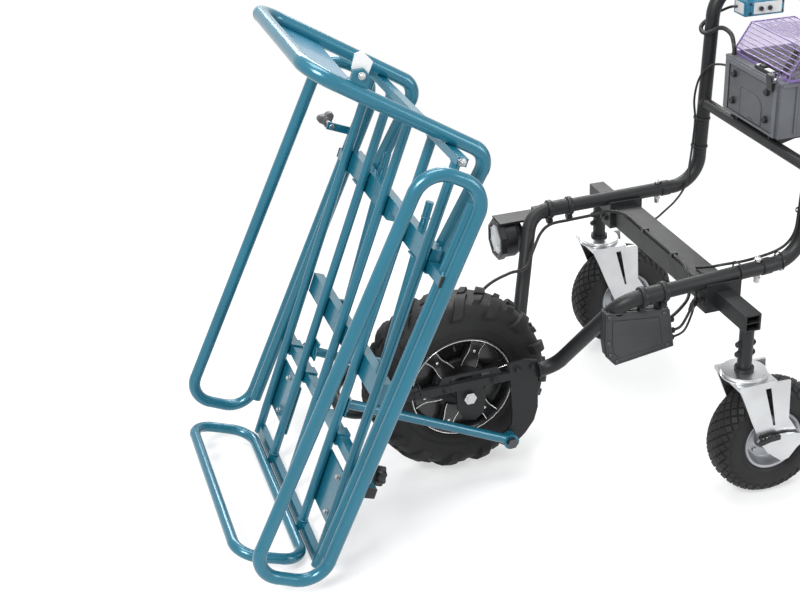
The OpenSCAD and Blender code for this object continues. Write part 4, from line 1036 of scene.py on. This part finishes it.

# casters: race rings and pedal pads
pad = [(-0.088, 0.017), (-0.060, 0.021), (-0.036, 0.021), (-0.036, 0.012), (-0.060, 0.010),
       (-0.082, 0.006)]
for side_name, s in SIDES:
    b = Build()
    tm = Matrix.Translation(P(CASTER_X, s * CASTER_Y, 285.7))
    b.lathe([(0.0300, 0.0085), (0.0440, 0.0085), (0.0472, 0.0070), (0.0478, 0.0052),
             (0.0455, 0.0048), (0.0300, 0.0048)], tm, 96)
    b.lathe([(0.0300, 0.0030), (0.0455, 0.0030), (0.0482, 0.0012), (0.0478, -0.0008),
             (0.0452, -0.0012), (0.0300, -0.0012)], tm, 96)
    b.make(side_name + "_swivel_race", "zinc", side_name + "_caster", angle=35, slot="zinc")
    b = Build()
    m = wheel_at(CASTER_X + 96, s * CASTER_Y, 140)
    y0, y1 = (0.0575, 0.0665) if s < 0 else (-0.0665, -0.0575)
    b.prism(pad, y0, y1, m, 0.0012)
    for k in range(5):
        b.box((-0.082 + 0.009 * k, 0.0195, y0), (-0.078 + 0.009 * k, 0.0225, y1), m, 0.0005)
    b.make(side_name + "_pedal_pad", "black_rubber", side_name + "_brake", angle=35,
           slot="black_rubber")

# tyre valve of the drive wheel
b = Build()
vm = drive @ spin(98)
b.sweep([vm @ Vector((x, 0, z)) for x, z in ((0.101, 0.034), (0.094, 0.040), (0.089, 0.046))],
        [0.0040, 0.0032, 0.0030], 16)
b.make("tyre_valve", "black_rubber", "front_wheel", angle=50, slot="black_rubber")

# floor and background: plain white where only the eye, a mirror or clear plastic sees them
PURE_WHITE = (1, 1, 1, 1)
BACKGROUND_RAYS = ("Is Camera Ray", "Is Glossy Ray", "Is Transmission Ray")


def background_rays(tree):
    """1 for the rays that show the background, 0 for those that light the object."""
    path = tree.nodes.new("ShaderNodeLightPath")
    total = path.outputs[BACKGROUND_RAYS[0]]
    for ray in BACKGROUND_RAYS[1:]:
        more = tree.nodes.new("ShaderNodeMath")
        more.operation = "MAXIMUM"
        tree.links.new(total, more.inputs[0])
        tree.links.new(path.outputs[ray], more.inputs[1])
        total = more.outputs[0]
    return total


def blend(tree, fac, plain, seen, out):
    """Shows seen instead of plain by fac."""
    mixer = tree.nodes.new("ShaderNodeMixShader")
    for i, socket in enumerate((fac, plain, seen)):
        tree.links.new(socket, mixer.inputs[i])
    tree.links.new(mixer.outputs[0], out.inputs["Surface"])


bpy.ops.mesh.primitive_plane_add(size=40, location=(0, 0, 0))
floor = bpy.context.object
floor.name = "floor"
fm = bpy.data.materials.new("floor")
fm.use_nodes = True
ft = fm.node_tree
fb = ft.nodes["Principled BSDF"]
fb.inputs["Base Color"].default_value = (0.93, 0.93, 0.93, 1)
fb.inputs["Roughness"].default_value = 0.6
floor.data.materials.append(fm)

# the floor fades from half lit, where the shadow lies, to white at a distance
FADE = (("From Min", 0.75), ("From Max", 1.9), ("To Min", 0.55), ("To Max", 1.0))
glow = ft.nodes.new("ShaderNodeEmission")
glow.inputs["Color"].default_value = PURE_WHITE
glow.inputs["Strength"].default_value = 1.0
place = ft.nodes.new("ShaderNodeNewGeometry")
reach = ft.nodes.new("ShaderNodeVectorMath")
reach.operation = "LENGTH"
fade = ft.nodes.new("ShaderNodeMapRange")
fade.interpolation_type = "SMOOTHSTEP"
for socket, value in FADE:
    fade.inputs[socket].default_value = value
times = ft.nodes.new("ShaderNodeMath")
times.operation = "MULTIPLY"
ft.links.new(place.outputs["Position"], reach.inputs[0])
ft.links.new(reach.outputs["Value"], fade.inputs["Value"])
ft.links.new(background_rays(ft), times.inputs[0])
ft.links.new(fade.outputs["Result"], times.inputs[1])
blend(ft, times.outputs[0], fb.outputs[0], glow.outputs[0],
      next(n for n in ft.nodes if n.type == "OUTPUT_MATERIAL"))

world = bpy.data.worlds.new("studio")
bpy.context.scene.world = world
world.use_nodes = True
wt = world.node_tree
wt.nodes.clear()
soft = wt.nodes.new("ShaderNodeBackground")
soft.inputs["Color"].default_value = (0.93, 0.96, 1.0, 1)
soft.inputs["Strength"].default_value = 0.48
white = wt.nodes.new("ShaderNodeBackground")
white.inputs["Color"].default_value = PURE_WHITE
white.inputs["Strength"].default_value = 1.0
blend(wt, background_rays(wt), soft.outputs[0], white.outputs[0],
      wt.nodes.new("ShaderNodeOutputWorld"))


# lamps
def lamp(name, at, target, size, power):
    data = bpy.data.lights.new(name, "AREA")
    data.shape = "RECTANGLE"
    data.size, data.size_y = size
    data.energy = power
    ob = bpy.data.objects.new(name, data)
    ob.location = at
    ob.rotation_euler = (Vector(target) - Vector(at)).to_track_quat("-Z", "Y").to_euler()
    bpy.context.collection.objects.link(ob)


lamp("key", (-2.4, -2.2, 3.2), (-0.1, 0, 0.4), (1.5, 1.0), 150)
lamp("fill", (2.8, -2.4, 1.6), (0.1, 0, 0.4), (1.4, 1.6), 45)
lamp("rim", (0.6, 3.0, 2.6), (0, 0, 0.4), (2.4, 0.8), 90)
lamp("top", (0.0, 0.2, 4.0), (0, 0, 0), (2.2, 1.6), 80)

bpy.context.scene.view_settings.view_transform = "Standard"
